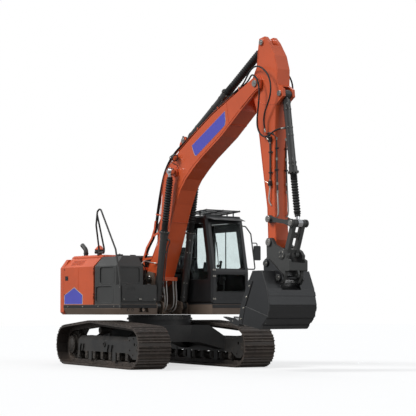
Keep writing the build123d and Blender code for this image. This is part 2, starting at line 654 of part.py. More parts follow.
RIGHT_WINDOW = sloping_window(-480, 1560, 110)
QUARTER_WINDOW = ((-490, 1800), (-160, 1800), (-160, WINDOW_TOP), (-490, WINDOW_TOP))
DOOR_WINDOW = sloping_window(20, 1760, 185)
SCREEN_Y = (CAB_Y[0] + FRONT_POST, CAB_Y[1] - FRONT_POST)
LOWER_SCREEN_Z = (1335, SILL_Z - 45)
GROOVES_Z = (1185, 1213, 1241, 1269, 1297)        # ribs across the panel under the lower screen
CAB_BEVEL = 35
REAR_WINDOW_Z = (1900, 2560)
HATCH_X = (100, 650)


def cab_shell():
    """Hollow cab with its window openings and doorway."""
    y0, y1 = CAB_Y
    body = side_plate(cab_outline(0), CAB_Y)
    rims = body.faces().sort_by(Axis.Y)[0].edges() + body.faces().sort_by(Axis.Y)[-1].edges()
    body = chamfer(rims, CAB_BEVEL)
    body -= side_plate(cab_outline(CAB_WALL), (y0 + CAB_WALL, y1 - CAB_WALL))
    body -= block((700, 1300), SCREEN_Y, (SILL_Z + 45, 2600))
    body -= block((CAB_X[1] - 100, 1300), SCREEN_Y, LOWER_SCREEN_Z)
    body -= block((CAB_X[0] - 10, CAB_X[0] + 60), (y0 + 110, y1 - 110), REAR_WINDOW_Z)
    body -= block(HATCH_X, (y0 + 160, y1 - 160), (2600, 2800))
    body -= side_plate(RIGHT_WINDOW, (y0 - 10, y0 + 60))
    body -= side_plate(QUARTER_WINDOW, (y1 - 60, y1 + 10))
    body -= side_plate(door_outline(0), (y1 - 60, y1 + 10))
    for z in GROOVES_Z:
        body -= block((CAB_X[1] - 8, CAB_X[1] + 5), (SCREEN_Y[0] + 20, SCREEN_Y[1] - 20), (z, z + 12))
    leaf_x, leaf_y = (CAB_DOOR_AXIS[0] - 52, CAB_DOOR_AXIS[0]), (y1 - 2, y1 + 9)
    return body + upright_hinge(CAB_DOOR_AXIS, leaf_x, leaf_y, ((1480, 1540), (2280, 2340)))


def door_outline(inset):
    """The doorway, or with an inset the door in it."""
    back, foot, head = -90 + inset, 1190 + inset, 2625 - inset
    front = 75 + inset
    return ((back, foot), (slope_x(SILL_Z, front), foot), (slope_x(SILL_Z, front), SILL_Z),
            (slope_x(head, front), head), (back, head))


def cab_door():
    """Door with its window opening, two hinge knuckles and a grab handle."""
    y = (CAB_Y[1] - CAB_WALL, CAB_Y[1])
    door = side_plate(door_outline(8), y) - side_plate(DOOR_WINDOW, (y[0] - 5, y[1] + 5))
    leaf_x, leaf_y = (CAB_DOOR_AXIS[0], CAB_DOOR_AXIS[0] + 52), (y[1] - 2, y[1] + 9)
    door += upright_hinge(CAB_DOOR_AXIS, leaf_x, leaf_y, ((1418, 1478), (2342, 2402)))
    return door + block((780, 900), (y[1] - 2, y[1] + 22), (1660, 1690))


def door_glass():
    y = CAB_Y[1] - CAB_WALL / 2
    return side_plate(DOOR_WINDOW, (y - 3, y + 3))


def cab_glass():
    """Panes in the openings: windscreen, lower screen, rear, hatch, right side and quarter window."""
    y0, y1 = CAB_Y
    foot, head = (slope_x(SILL_Z + 45, 25), SILL_Z + 45), (slope_x(2600, 25), 2600)
    screen = side_plate((foot, (foot[0] + 6, foot[1]), (head[0] + 6, head[1]), head), SCREEN_Y)
    lower = block((CAB_X[1] - 28, CAB_X[1] - 22), SCREEN_Y, LOWER_SCREEN_Z)
    rear = block((CAB_X[0] + 20, CAB_X[0] + 26), (y0 + 110, y1 - 110), REAR_WINDOW_Z)
    hatch = block(HATCH_X, (y0 + 160, y1 - 160), (CAB_Z[1] - 30, CAB_Z[1] - 24))
    right = side_plate(RIGHT_WINDOW, (y0 + 19, y0 + 25))
    quarter = side_plate(QUARTER_WINDOW, (y1 - 25, y1 - 19))
    return [screen, lower, rear, hatch, right, quarter]


def seat():
    y = (CAB_Y[0] + CAB_Y[1]) / 2
    base = block((-150, 250), (y - 180, y + 180), (CAB_Z[0] + CAB_WALL, 1480))
    cushion = block((-180, 330), (y - 245, y + 245), (1480, 1590))
    back = side_plate(((-200, 1590), (-60, 1590), (-190, 2230), (-310, 2230)), (y - 230, y + 230))
    return base + cushion + back


def consoles():
    """Control boxes on both sides of the seat, with their levers, and the travel pedals."""
    y = (CAB_Y[0] + CAB_Y[1]) / 2
    solids = []
    for side in (-1, 1):
        y_box = sorted((y + side * 262, y + side * 385))
        box = block((-160, 420), y_box, (1480, 1680)) + block((-100, 200), y_box, (CAB_Z[0] + CAB_WALL, 1480))
        y_lever = sum(y_box) / 2
        box += bar((340, y_lever, 1660), (370, y_lever, 1880), 14)
        solids.append(box)
        pedal = bar((720, y + side * 90, CAB_Z[0] + CAB_WALL + 4), (760, y + side * 90, 1560), 14)
        pedal += block((690, 860), (y + side * 90 - 50, y + side * 90 + 50), (1175, 1195))
        solids.append(pedal)
    return solids


GUARD_Z = 2792            # rear edge of the roof guard
GUARD_TILT = 4


def roof_guard():
    """Open guard frame standing over the front of the cab roof, tilted up to the front."""
    y0, y1 = CAB_Y[0] + 48, CAB_Y[1] - 48
    xs, ys = (300, 480, 660, 840), (y0, (y0 + y1) / 2, y1)
    guard = None
    for x in xs:
        rail = block((x - 12, x + 12), (y0 - 12, y1 + 12), (-12, 12))
        guard = rail if guard is None else guard + rail
    for y in ys:
        guard += block((xs[0] - 12, xs[-1] + 12), (y - 12, y + 12), (-12, 12))
    guard = Pos(0, 0, GUARD_Z) * guard.rotate(Axis((xs[0], 0, 0), (0, 1, 0)), -GUARD_TILT)
    for x, share in ((xs[1], 1), (xs[2], 2)):
        top = GUARD_Z + share * 180 * math.sin(math.radians(GUARD_TILT))
        for y in (y0, y1):
            guard += block((x - 9, x + 9), (y - 9, y + 9), (CAB_Z[1], top))
    return guard


def mirror_arm():
    """Tall bar on the cab's front left corner with the mirror on its short arm."""
    y = CAB_Y[1]
    rail = bent_tube(((845, y, 2560), (845, y + 90, 2560), (905, y + 170, 2420), (1000, y + 190, 1760),
                      (1000, y, 1760)), 12, 40)
    arm = bent_tube(((930, y + 172, 2250), (930, y + 300, 2250), (930, y + 300, 2180)), 10, 30)
    head = block((913, 947), (y + 225, y + 375), (1930, 2200))
    head = fillet(head.edges().filter_by(Axis.X), 25)
    return rail + arm + head


RAIL_R = 16


def handrail():
    """Grab rail from the deck's front corner up beside the tank to a high peak and down to the pump
    room's cover, and a second leg that runs round back to the first one's foot."""
    y, foot_z = -HOUSE_HALF - 20, HOOD_Z + 45
    rail = bent_tube(((470, y, 1075), (459, y, 1507), (319, y, 2085), (-170, y, 2850), (-262, y, 2790),
                      (-330, y + 20, 2550), (-560, -970, 2140), (-560, -970, foot_z)), RAIL_R, 60)
    loop = bent_tube(((-275, y + 4, 2740), (-338, -1010, 2140), (-370, -985, 2062), (-545, -975, 2062)),
                     RAIL_R, 45)
    foot = block((440, 480), (y - RAIL_R, -HOUSE_HALF), (1060, 1090))
    stay = block((438, 464), (y, -HOUSE_HALF), (1400, 1430))
    return rail + loop + foot + stay + bar((-560, -970, foot_z), (-560, -970, foot_z + 10), 34)


def exhaust():
    x, y, z = -1240, -800, HOOD_Z + 45
    return bent_tube(((x, y, z), (x, y, z + 120), (x - 130, y, z + 215)), 42, 90)


def pre_cleaner():
    """Air pre-cleaner: stem, bowl with a band round it, and a cone cap."""
    x, y, z = -790, -800, HOOD_Z + 45
    stem = bar((x, y, z), (x, y, z + 40), 45)
    bowl = bar((x, y, z + 35), (x, y, z + 110), 88) + bar((x, y, z + 60), (x, y, z + 78), 95)
    cap = Pos(x, y, z + 145) * Cone(85, 26, 70)
    return stem + bowl + cap


# ---------------------------------------------------------------- working arm
BOOM_OUTLINE = (          # x, z round the side plate, from the foot's back upwards
    (-150, 1560), (-140, 1720), (-20, 1930), (200, 2240), (280, 2650), (340, 3200), (400, 3440), (560, 3640),
    (800, 3830), (1290, 4130), (1800, 4420), (2400, 4690), (2830, 4890), (2960, 4950), (3070, 4860),
    (3060, 4720), (2930, 4660), (2520, 4370), (2030, 4010), (1470, 3680), (1250, 3520), (1030, 3340),
    (870, 3150), (740, 2900), (610, 2590), (490, 2270), (300, 1850), (150, 1500), (0, 1430), (-110, 1460),
)
TIP_FORK_Y = (145, 175)
TIP_CHEEK = (             # x, z of the plate welded on each side of the tip
    (2400, 4650), (2545, 4425), (2920, 4680), (3040, 4735), (3050, 4850), (2950, 4930), (2830, 4875),
)


def boom():
    """Box-section boom: outline with a slot at its tip for the arm's boss, stiffened by cheek plates
    at the tip and by bosses at the cylinders' pins."""
    body = side_plate(BOOM_OUTLINE, (-BOOM_HALF, BOOM_HALF))
    body -= block((2560, 3300), (-TIP_FORK_Y[0], TIP_FORK_Y[0]), (4000, 5200))
    lug = ((700, 3700), (980, 3850), (1000, 3960), (930, 4120), (840, 4120), (760, 4000))
    for side in (-1, 1):
        body += side_plate(lug, sorted((side * 84, side * 116)), 20)
        body += cross_bar(BOOM_CYL_EYE, 85, sorted((side * BOOM_HALF, side * (BOOM_HALF + 36))))
        cheek_y = sorted((side * (BOOM_HALF - 5), side * (BOOM_HALF + 12)))
        body += side_plate(TIP_CHEEK, cheek_y, 25)
        body += cross_bar(BOOM_FOOT, 118, sorted((side * (BOOM_HALF - 5), side * (BOOM_HALF + 6))))
    body += block((160, 300), (-BOOM_HALF + 5, BOOM_HALF - 5), (1545, 1610))
    for i in range(len(FOOT_HOSES)):
        route = foot_hose_route(i)
        body += fitting(*route[:2], FOOT_HOSE)
    lift_port = fitting(LIFT_ROUTE[-1], LIFT_ROUTE[-2], LIFT_HOSE, 90)
    body += lift_port & block((0, 500), (-300, -BOOM_HALF + 5), (1500, 2000))
    body -= cross_bar(BOOM_FOOT, PIN_R + 10 + RUN, (-400, 400))
    body -= cross_bar(ARM_CYL_FOOT, PIN_R + RUN, (-400, 400))
    body -= cross_bar(BOOM_TIP, PIN_R + 10 + RUN, (-400, 400))
    return body


def pins_boom():
    return [cross_bar(ARM_CYL_FOOT, PIN_R, (-125, 125)), cross_bar(BOOM_TIP, PIN_R + 10, (-208, 208))]


BRACKET_BAND = (          # x, z round the open bracket's long plate, a little outside the hoses it carries
    (-243, 1790), (-274, 1953), (-168, 2163), (-8, 2337), (72, 2497), (100, 2640),
    (145, 2640), (112, 2483), (28, 2313), (-132, 2137), (-228, 1945), (-200, 1798),
)
BRACKET_STRUTS = (        # x, z of the two struts that hold it on the boom's side
    ((-225, 1925), (-225, 1965), (30, 1985), (10, 1945)),
    ((45, 2385), (75, 2350), (285, 2420), (285, 2460)),
)
BRACKET_Y = (118, 190)    # inner edge of its clips and its outer face, on each side
CLIP_Y = (118, 184)
CLIP_HALF = 9             # half a clip's thickness along the hoses
RUNGS = ((1, 2), (3, 4))  # the bracket's own clips stand halfway along these runs of the bundle


def boom_hoses():
    """Four hoses held in clips behind and on top of the boom, two on each side."""
    return [hose([(x, y, z) for x, z in BUNDLE], HOSE) for y in BUNDLE_Y]


def clip_frame(before, after, share):
    """A frame on the bundle with its local X along the hoses."""
    x, z = (a + (b - a) * share for a, b in zip(before, after))
    slope = math.degrees(math.atan2(after[1] - before[1], after[0] - before[0]))
    return Pos(x, 0, z) * Rot(0, -slope, 0)


def hose_brackets():
    """Clips on the boom, each cut to the hoses that it holds, and the open brackets behind the foot with
    their own clips and the block that the hoses start from."""
    solids = []
    boom_plate = side_plate(BOOM_OUTLINE, (-BOOM_HALF, BOOM_HALF))
    ends = [(BUNDLE[i], BUNDLE[j], 0.5) for i, j in CLIPS] + [(BUNDLE[-2], BUNDLE[-1], 0.9)]
    for side in (-1, 1):
        y = sorted((side * BRACKET_Y[0], side * BRACKET_Y[1]))
        clip_y = sorted((side * CLIP_Y[0], side * CLIP_Y[1]))
        bores = [Pos(0, line, 0) * Rot(0, 90, 0) * Cylinder(HOSE / 2, 100) for line in BUNDLE_Y]
        for before, after, share in ends:
            frame = clip_frame(before, after, share)
            clip = frame * (block((-CLIP_HALF, CLIP_HALF), clip_y, (-150, 22)) - bores)
            solids += (clip - boom_plate).solids().sort_by(SortBy.VOLUME)[-1:]
        plate_y = sorted((side * BOOM_HALF, side * BRACKET_Y[1]))
        bracket = side_plate(BRACKET_BAND, plate_y)
        for strut in BRACKET_STRUTS:
            bracket += side_plate(strut, plate_y)
        for i, j in RUNGS:
            rung = block((-CLIP_HALF, CLIP_HALF), y, (-24, 20)) - bores
            bracket += clip_frame(BUNDLE[i], BUNDLE[j], 0.5) * rung
        bracket += clip_frame(*BUNDLE[:2], 0) * block((-45, 0), y, (-20, 20))
        solids.append(bracket)
    return solids


LAMP_AT = (790, 3745)     # work lamp's middle in side view, clear of the cylinder's eye


def lamps():
    """Two work lamps, one on each side of the boom, each on its bracket."""
    solids = []
    for side in (-1, 1):
        x, z = LAMP_AT
        y = side * (BOOM_HALF + 80)
        aim = Plane(origin=(x - 45, y, z + 18), z_dir=(0.93, 0, -0.37))
        lamp = aim * Cone(42, 58, 60, align=(Align.CENTER, Align.CENTER, Align.MIN))
        lamp += aim * Pos(0, 0, 60) * Cylinder(60, 22, align=(Align.CENTER, Align.CENTER, Align.MIN))
        lamp += block((x - 60, x - 44), sorted((side * BOOM_HALF, side * (BOOM_HALF + 110))), (z - 20, z + 30))
        solids.append(lamp)
    return solids


ARM_OUTLINE = (           # x, z round the side plate, from the cylinder's lug clockwise
    (2990, 5570), (3130, 5590), (3230, 5480), (3380, 5240), (3450, 5000), (3440, 4740), (3570, 4650),
    (3580, 4530), (3500, 4480), (3400, 4400), (3355, 3300), (3370, 2600), (3390, 2160), (3360, 2040),
    (3230, 2030), (3190, 2120), (3170, 2700), (3040, 3500), (2900, 4400), (2790, 4720), (2800, 4900),
    (2920, 5100), (2960, 5420),
)


def arm():
    """Dipper arm, its top lug and bucket-cylinder lug slotted for the cylinder eyes."""
    body = side_plate(ARM_OUTLINE, (-ARM_HALF, ARM_HALF))
    body -= block((2800, 3260), (-60, 60), (5200, 5700))
    body -= block((3410, 3700), (-78, 78), (4400, 4700))
    for pin in (ARM_CYL_EYE, BUCKET_CYL_FOOT, ROCKER_PIN, BUCKET_PIN):
        body -= cross_bar(pin, PIN_R + RUN, (-400, 400))
    body -= cross_bar(BOOM_TIP, PIN_R + 10 + RUN, (-400, 400))
    for route in (OUTER_HOSE, mirrored_route(OUTER_HOSE)):
        (x, y, z), side = route[-1], math.copysign(1, route[-1][1])
        body += fitting(route[-1], route[-2], HOSE, 90)
        body += block((x - 12, x + 32), sorted((side * (ARM_HALF - 5), y)), (z - 90, z - 40))
    return body


def pins_arm():
    solids = [cross_bar(BUCKET_CYL_FOOT, PIN_R, (-150, 150)), cross_bar(ROCKER_PIN, PIN_R, (-215, 215)),
              cross_bar(BUCKET_PIN, PIN_R, (-225, 225))]
    for side in (-1, 1):
        solids.append(cross_bar(ARM_CYL_EYE, PIN_R, sorted((side * 65, side * 150))))
    return solids


CYLINDERS = {             # foot and eye pins, middle lines' y, barrel and rod radius, barrel length,
                          # half widths of foot and eye, half length of the eye's own pin,
                          # sleeve's end from the eye, length of rod inside the barrel
    "boom": (BOOM_CYL_FOOT, BOOM_CYL_EYE, (-BOOM_CYL_Y, BOOM_CYL_Y), 66, 36, 1352, 38, 34, 68, 100, 250),
    "arm": (ARM_CYL_FOOT, ARM_CYL_EYE, (0,), 72, 38, 1330, 76, 50, 55, 200, 200),
    "bucket": (BUCKET_CYL_FOOT, ROCKER_TIP, (0,), 62, 32, 1340, 66, 50, 54, 110, 400),
}
BORE_FROM = 130           # bottom of a barrel's bore, from the foot's pin


def barrel(name):
    """Barrel with its foot eye and gland, one per middle line."""
    foot, eye, lines, radius, rod_radius, length, foot_half = CYLINDERS[name][:7]
    solids = []
    for y in lines:
        neck, base, gland, mouth = (at_y(along(foot, eye, d), y) for d in (30, 95, length - 110, length))
        tube = bar(neck, base, PIN_R) + bar(base, mouth, radius) + bar(gland, mouth, radius + 9)
        for d in (BORE_FROM, length - 190):
            tube += bar(at_y(along(foot, eye, d), y), at_y(along(foot, eye, d + 30), y), radius + 6)
        tube += cross_bar(foot, PIN_R + 35, (y - foot_half, y + foot_half))
        if name == "bucket":
            tube += fitting(INNER_HOSE[-1], INNER_HOSE[-2], HOSE, PORT_REACH)
        tube -= cross_bar(foot, PIN_R + RUN, (y - 200, y + 200))
        tube -= bar(at_y(along(foot, eye, BORE_FROM), y), at_y(along(foot, eye, length + 5), y), rod_radius + 0.5)
        solids.append(tube)
    return solids


def rod(name):
    """Rod from inside the barrel to the eye, the eye filled by its own short pin."""
    foot, eye, lines, _, rod_radius, length, _, eye_half, pin_half, _, hidden = CYLINDERS[name]
    total = math.dist(foot, eye)
    solids = []
    for y in lines:
        start, end = (at_y(along(foot, eye, d), y) for d in (length - hidden, total - 40))
        piece = bar(start, end, rod_radius) + cross_bar(eye, PIN_R + 33, (y - eye_half, y + eye_half))
        solids.append(piece + cross_bar(eye, PIN_R, (y - pin_half, y + pin_half)))
    return solids


def bellows(name):
    """Sleeve over the bare rod, from the gland to the eye."""
    foot, eye, lines, radius, rod_radius, length, _, _, _, sleeve_end, _ = CYLINDERS[name]
    total = math.dist(foot, eye)
    solids = []
    for y in lines:
        start, end = (at_y(along(foot, eye, d), y) for d in (length + 2, total - sleeve_end))
        solids.append(bar(start, end, radius - 2) - bar(start, end, rod_radius + 0.5))
    return solids


# ---------------------------------------------------------------- bucket and its linkage
ROCKER_Y = (142, 175)
LINK_Y = (62, 132)
LINK_WEBS = ((160, 250), (440, 500))      # cross webs, from the cross pin down the link


def rocker_links():
    """Two waisted side links with round bosses, each with its half of the cross pin, open in the
    middle for the rod's eye."""
    solids = []
    length = math.dist(ROCKER_PIN, ROCKER_TIP)
    turn = math.degrees(math.atan2(ROCKER_PIN[1] - ROCKER_TIP[1], ROCKER_TIP[0] - ROCKER_PIN[0]))
    waist = ((0, 60), (0.3 * length, 34), (0.7 * length, 34), (length, 60),
             (length, -60), (0.7 * length, -34), (0.3 * length, -34), (0, -60))
    for side in (-1, 1):
        y = sorted((side * ROCKER_Y[0], side * ROCKER_Y[1]))
        web = Pos(ROCKER_PIN[0], 0, ROCKER_PIN[1]) * Rot(0, turn, 0) * side_plate(waist, y)
        link = web + cross_bar(ROCKER_PIN, 66, y) + cross_bar(ROCKER_TIP, 66, y)
        link += cross_bar(ROCKER_TIP, PIN_R, sorted((side * 58, side * ROCKER_Y[1])))
        link -= cross_bar(ROCKER_PIN, PIN_R + RUN, (-300, 300))
        solids.append(link)
    return solids


def bucket_link():
    """H-shaped link from the cross pin to the coupler: two legs, a web with a round hole high up and
    an open slot below it."""
    length = math.dist(ROCKER_TIP, LINK_FOOT)
    turn = 180 - math.degrees(math.atan2(ROCKER_TIP[1] - LINK_FOOT[1], ROCKER_TIP[0] - LINK_FOOT[0]))
    to_link = Pos(ROCKER_TIP[0], 0, ROCKER_TIP[1]) * Rot(0, turn, 0)      # local +X runs down the link
    body = None
    for side in (-1, 1):
        y = sorted((side * LINK_Y[0], side * LINK_Y[1]))
        leg = cross_bar(ROCKER_TIP, 60, y) + cross_bar(LINK_FOOT, 55, y)
        leg += to_link * block((0, length), y, (-40, 40))
        body = leg if body is None else body + leg
    for x in LINK_WEBS:
        body += to_link * block(x, (-LINK_Y[0] - 5, LINK_Y[0] + 5), (-25, 25))
    body -= to_link * Pos(sum(LINK_WEBS[0]) / 2, 0, 0) * Cylinder(24, 80)
    body -= cross_bar(ROCKER_TIP, PIN_R + RUN, (-300, 300))
    return body


COUPLER_OUTLINE = ((3230, 2190), (3340, 2195), (3420, 2080), (3640, 1985), (3720, 1900), (3700, 1780),
                   (3670, 1560), (3600, 1450), (3500, 1480), (3470, 1560), (3330, 1680), (3200, 1690), (3170, 1800),
                   (3230, 1880), (3225, 2060))
BUCKET_PINS = ((3262, 1774), (3570, 1535))
COUPLER_Y = (145, 205)
LIFTING_EYE = (3745, 1585)
EYE_R = 22
EYE_HALF = 20             # half the thickness of the lifting eye's plate
EYE_PLATE = ((3660, 1660), (3770, 1660), (3800, 1585), (3775, 1535), (3715, 1535), (3650, 1600))
EAR_Y = (212, 244)


def coupler():
    """Quick coupler: two ear plates on the arm's pin, holding both bucket pins, joined by a box and by
    a nose with a lifting eye under it."""
    body = None
    for side in (-1, 1):
        y = sorted((side * COUPLER_Y[0], side * COUPLER_Y[1]))
        plate = side_plate(COUPLER_OUTLINE, y, 15) + cross_bar(LINK_FOOT, 82, y) + cross_bar(BUCKET_PIN, 72, y)
        body = plate if body is None else body + plate
    body += block((3380, 3640), (-150, 150), (1640, 1790))
    nose = side_plate(((3590, 1640), (3775, 1640), (3775, 1815), (3700, 1850), (3590, 1850)),
                      (-COUPLER_Y[1], COUPLER_Y[1]), 20)
    body += nose - block((3500, 3735), (-150, 150), (1740, 1900)) - block((3500, 3800), (-150, 150), (1775, 1900))
    body += side_plate(EYE_PLATE, (-EYE_HALF, EYE_HALF), 12)
    body -= cross_bar(LIFTING_EYE, EYE_R, (-100, 100))
    body -= cross_bar(BUCKET_PIN, PIN_R + RUN, (-300, 300))
    body -= cross_bar(LINK_FOOT, 110, (-144, 144))
    for pin in BUCKET_PINS:
        body -= cross_bar(pin, PIN_R + RUN, (-300, 300))
    return body + [cross_bar(LINK_FOOT, PIN_R + 10, sorted((side * 136, side * 150))) for side in (-1, 1)]


BUCKET_SIDE = ((3229, 1650), (3475, 1650), (3596, 1363), (3654, 1096), (3614, 911), (3408, 694), (2865, 784),
               (2951, 1099), (3145, 1506))
BUCKET_HOLLOW = ((3140, 1800), (3200, 1625), (3455, 1625), (3571, 1355), (3627, 1096), (3590, 925), (3395, 722),
                 (2700, 838), (2500, 1800))
POCKET = ((3100, 1900), (3100, 1640), (3440, 1425), (3620, 1325), (3800, 1325), (3800, 1900))
POCKET_FLOOR = ((3100, 1900), (3100, 1610), (3427, 1403), (3612, 1300), (3800, 1300), (3800, 1900))
SIDE_CUTTER = ((3145, 1506), (2951, 1099), (2865, 784), (2965, 768), (3055, 1085), (3235, 1480))
WEAR_STRIPS = (           # index of the back's edge, where along it a band starts and ends
    (2, 60, 130), (3, 30, 110), (4, 60, 150), (4, 210, 280),
)
EAR = ((3200, 1600), (3190, 1780), (3230, 1850), (3310, 1850), (3640, 1590), (3650, 1500), (3560, 1400), (3500, 1500))


def wear_strip(edge, near, far):
    """Side view of a band on one edge of the bucket's outline, 12 mm proud and 4 mm in."""
    start, end = BUCKET_SIDE[edge], BUCKET_SIDE[edge + 1]
    length = math.dist(start, end)
    out_x, out_z = (start[1] - end[1]) / length, (end[0] - start[0]) / length
    corners = ((near, 12), (far, 12), (far, -4), (near, -4))
    points = [(along(start, end, d), out) for d, out in corners]
    return [(x + out_x * out, z + out_z * out) for (x, z), out in points]


def bucket():
    """Welded shell open to the front, a lowered pocket under the coupler, an ear each side of it, side
    cutters, wear strips on the back and a thick lip."""
    shell = side_plate(BUCKET_SIDE, (-BUCKET_HALF, BUCKET_HALF))
    for edge, near, far in WEAR_STRIPS:
        shell += side_plate(wear_strip(edge, near, far), (-BUCKET_HALF, BUCKET_HALF))
    hollow = side_plate(BUCKET_HOLLOW, (-BUCKET_HALF + PLATE, BUCKET_HALF - PLATE))
    shell -= hollow - side_plate(POCKET_FLOOR, (-EAR_Y[1], EAR_Y[1]))
    for side in (-1, 1):
        shell += side_plate(EAR, sorted((side * EAR_Y[0], side * EAR_Y[1])), 12)
        shell += side_plate(SIDE_CUTTER, sorted((side * (BUCKET_HALF - 5), side * (BUCKET_HALF + 12))), 8)
    shell -= side_plate(POCKET, (-EAR_Y[0], EAR_Y[0]))
    for pin in BUCKET_PINS:
        shell += cross_bar(pin, PIN_R, (-262, 262))
    return shell


def bucket_teeth():
    """Five teeth along the lip, each a wedge held in its broader adapter."""
    solids = []
    for i in range(5):
        y = (i - 2) * (2 * BUCKET_HALF - 130) / 4
        adapter = ((2864, 745), (2864, 825), (2760, 880), (2640, 880), (2640, 800), (2720, 772))
        point = ((2660, 872), (2440, 900), (2440, 885), (2660, 808))
        solids.append(side_plate(adapter, (y - 50, y + 50)) + side_plate(point, (y - 36, y + 36)))
    return solids


# ---------------------------------------------------------------- write every node
def group(shapes):
    return Compound(children=[solid for shape in shapes for solid in shape.solids()])


UNDERCARRIAGE = {
    "track_left": lambda: track(TRACK_Y),
    "track_right": lambda: track(-TRACK_Y),
    "track_frames": lambda: group(track_frames()),
    "idlers": lambda: group(idlers()),
    "sprockets": lambda: group(sprockets()),
    "track_rollers": lambda: group(rollers()),
    "carbody": carbody,
    "swing_bearing": swing_bearing,
}
HOUSE = {
    "deck_frame": deck,
    "house_pins": lambda: group(pins_house()),
    "counterweight": counterweight,
    "right_side_door": lambda: side_door(-1),
    "left_side_door": lambda: side_door(1),
    "bulkhead": bulkhead,
    "engine_hood": engine_hood,
    "pump_room_cover": pump_cover,
    "engine_block": engine,
    "hydraulic_tank": tank,
    "tool_box": tool_box,
    "tool_box_lid": tool_box_lid,
    "cab_shell": cab_shell,
    "cab_glass": lambda: group(cab_glass()),
    "cab_door": cab_door,
    "door_glass": door_glass,
    "operator_seat": seat,
    "control_consoles": lambda: group(consoles()),
    "roof_guard": roof_guard,
    "mirror": mirror_arm,
    "handrail": handrail,
    "exhaust_pipe": exhaust,
    "pre_cleaner": pre_cleaner,
}
WORKING_ARM = {
    "boom": boom,
    "boom_pins": lambda: group(pins_boom()),
    "boom_lamps": lambda: group(lamps()),
    "boom_hoses": lambda: group(boom_hoses()),
    "hose_brackets": lambda: group(hose_brackets()),
    "arm_hose_outer": lambda: hose(OUTER_HOSE, HOSE),
    "arm_hose_inner": lambda: hose(INNER_HOSE, HOSE),
    "arm_hose_left": lambda: hose(mirrored_route(OUTER_HOSE), HOSE),
    "lift_hose": lambda: hose(LIFT_ROUTE, LIFT_HOSE),
    "arm": arm,
    "arm_pins": lambda: group(pins_arm()),
    "rocker_links": lambda: group(rocker_links()),
    "bucket_link": bucket_link,
    "quick_coupler": coupler,
    "bucket": bucket,
    "bucket_teeth": lambda: group(bucket_teeth()),
}
for i in range(len(FOOT_HOSES)):
    WORKING_ARM[f"foot_hose_{i + 1}"] = lambda number=i: hose(foot_hose_route(number), FOOT_HOSE)
for cylinder in CYLINDERS:
    WORKING_ARM[f"{cylinder}_cylinder"] = lambda name=cylinder: group(barrel(name))
    WORKING_ARM[f"{cylinder}_rod"] = lambda name=cylinder: group(rod(name))
    WORKING_ARM[f"{cylinder}_bellows"] = lambda name=cylinder: group(bellows(name))

for node, make in UNDERCARRIAGE.items():
    write(node, make(), TRACK_TURN)
for node, make in (HOUSE | WORKING_ARM).items():
    write(node, make())
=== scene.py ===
"""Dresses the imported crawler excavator: paint, rubber, glass, bellows, hoses, welds and bolts."""
import json
import math

import bmesh
import bpy
from mathutils import Matrix, Vector


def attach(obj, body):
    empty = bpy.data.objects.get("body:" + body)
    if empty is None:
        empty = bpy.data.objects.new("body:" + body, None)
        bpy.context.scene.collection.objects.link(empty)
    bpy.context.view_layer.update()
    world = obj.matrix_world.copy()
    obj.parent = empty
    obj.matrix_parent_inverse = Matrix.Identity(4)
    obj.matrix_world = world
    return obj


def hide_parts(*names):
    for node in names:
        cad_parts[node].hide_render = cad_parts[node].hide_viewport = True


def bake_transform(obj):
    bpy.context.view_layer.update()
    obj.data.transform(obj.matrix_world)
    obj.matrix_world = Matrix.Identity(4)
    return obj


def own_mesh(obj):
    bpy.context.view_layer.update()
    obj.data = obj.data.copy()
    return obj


bl_info = {
    "name": "Crawler Excavator Dressing",
    "version": (1, 0, 0),
    "blender": (4, 5, 0),
    "location": "View3D > Sidebar > Excavator",
    "description": "Finishes and small fittings for a crawler excavator",
    "category": "Object",
}

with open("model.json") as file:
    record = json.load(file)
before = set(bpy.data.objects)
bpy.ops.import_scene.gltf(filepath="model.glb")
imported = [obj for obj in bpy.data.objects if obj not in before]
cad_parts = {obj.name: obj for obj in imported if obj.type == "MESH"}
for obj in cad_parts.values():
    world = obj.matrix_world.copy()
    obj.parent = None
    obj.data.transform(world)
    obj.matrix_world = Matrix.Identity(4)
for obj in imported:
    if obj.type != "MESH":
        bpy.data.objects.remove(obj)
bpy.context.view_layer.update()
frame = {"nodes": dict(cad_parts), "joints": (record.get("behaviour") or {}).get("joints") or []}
NODES = frame["nodes"]
JOINTS = {joint["name"]: joint for joint in frame["joints"]}


def joint_at(name):
    return Vector(JOINTS[name]["pos_m"])


# ---------------------------------------------------------------- sizes in metres
TRACK_TURN = Matrix.Rotation(math.radians(-11), 4, "Z")    # the undercarriage's turn about the swing axis
TRACK_Y = 1.015
BOOM_SIDE = 0.185
ARM_SIDE = 0.135
HOUSE_SIDE = 1.190
TIP_PIN = joint_at("arm_swing")
ROCKER_PIN = joint_at("rocker_turn")
CROSS_PIN = joint_at("link_turn")
COUPLER_PIN = joint_at("bucket_curl")
ARM_EYE = Vector((3.050, 0, 5.500))        # the arm cylinder's rod eye on the arm
ARM_FOOT = Vector((0.870, 0, 4.050))       # the arm cylinder's foot on the boom
BUCKET_EYE = Vector((3.500, 0, 4.580))     # the bucket cylinder's foot on the arm


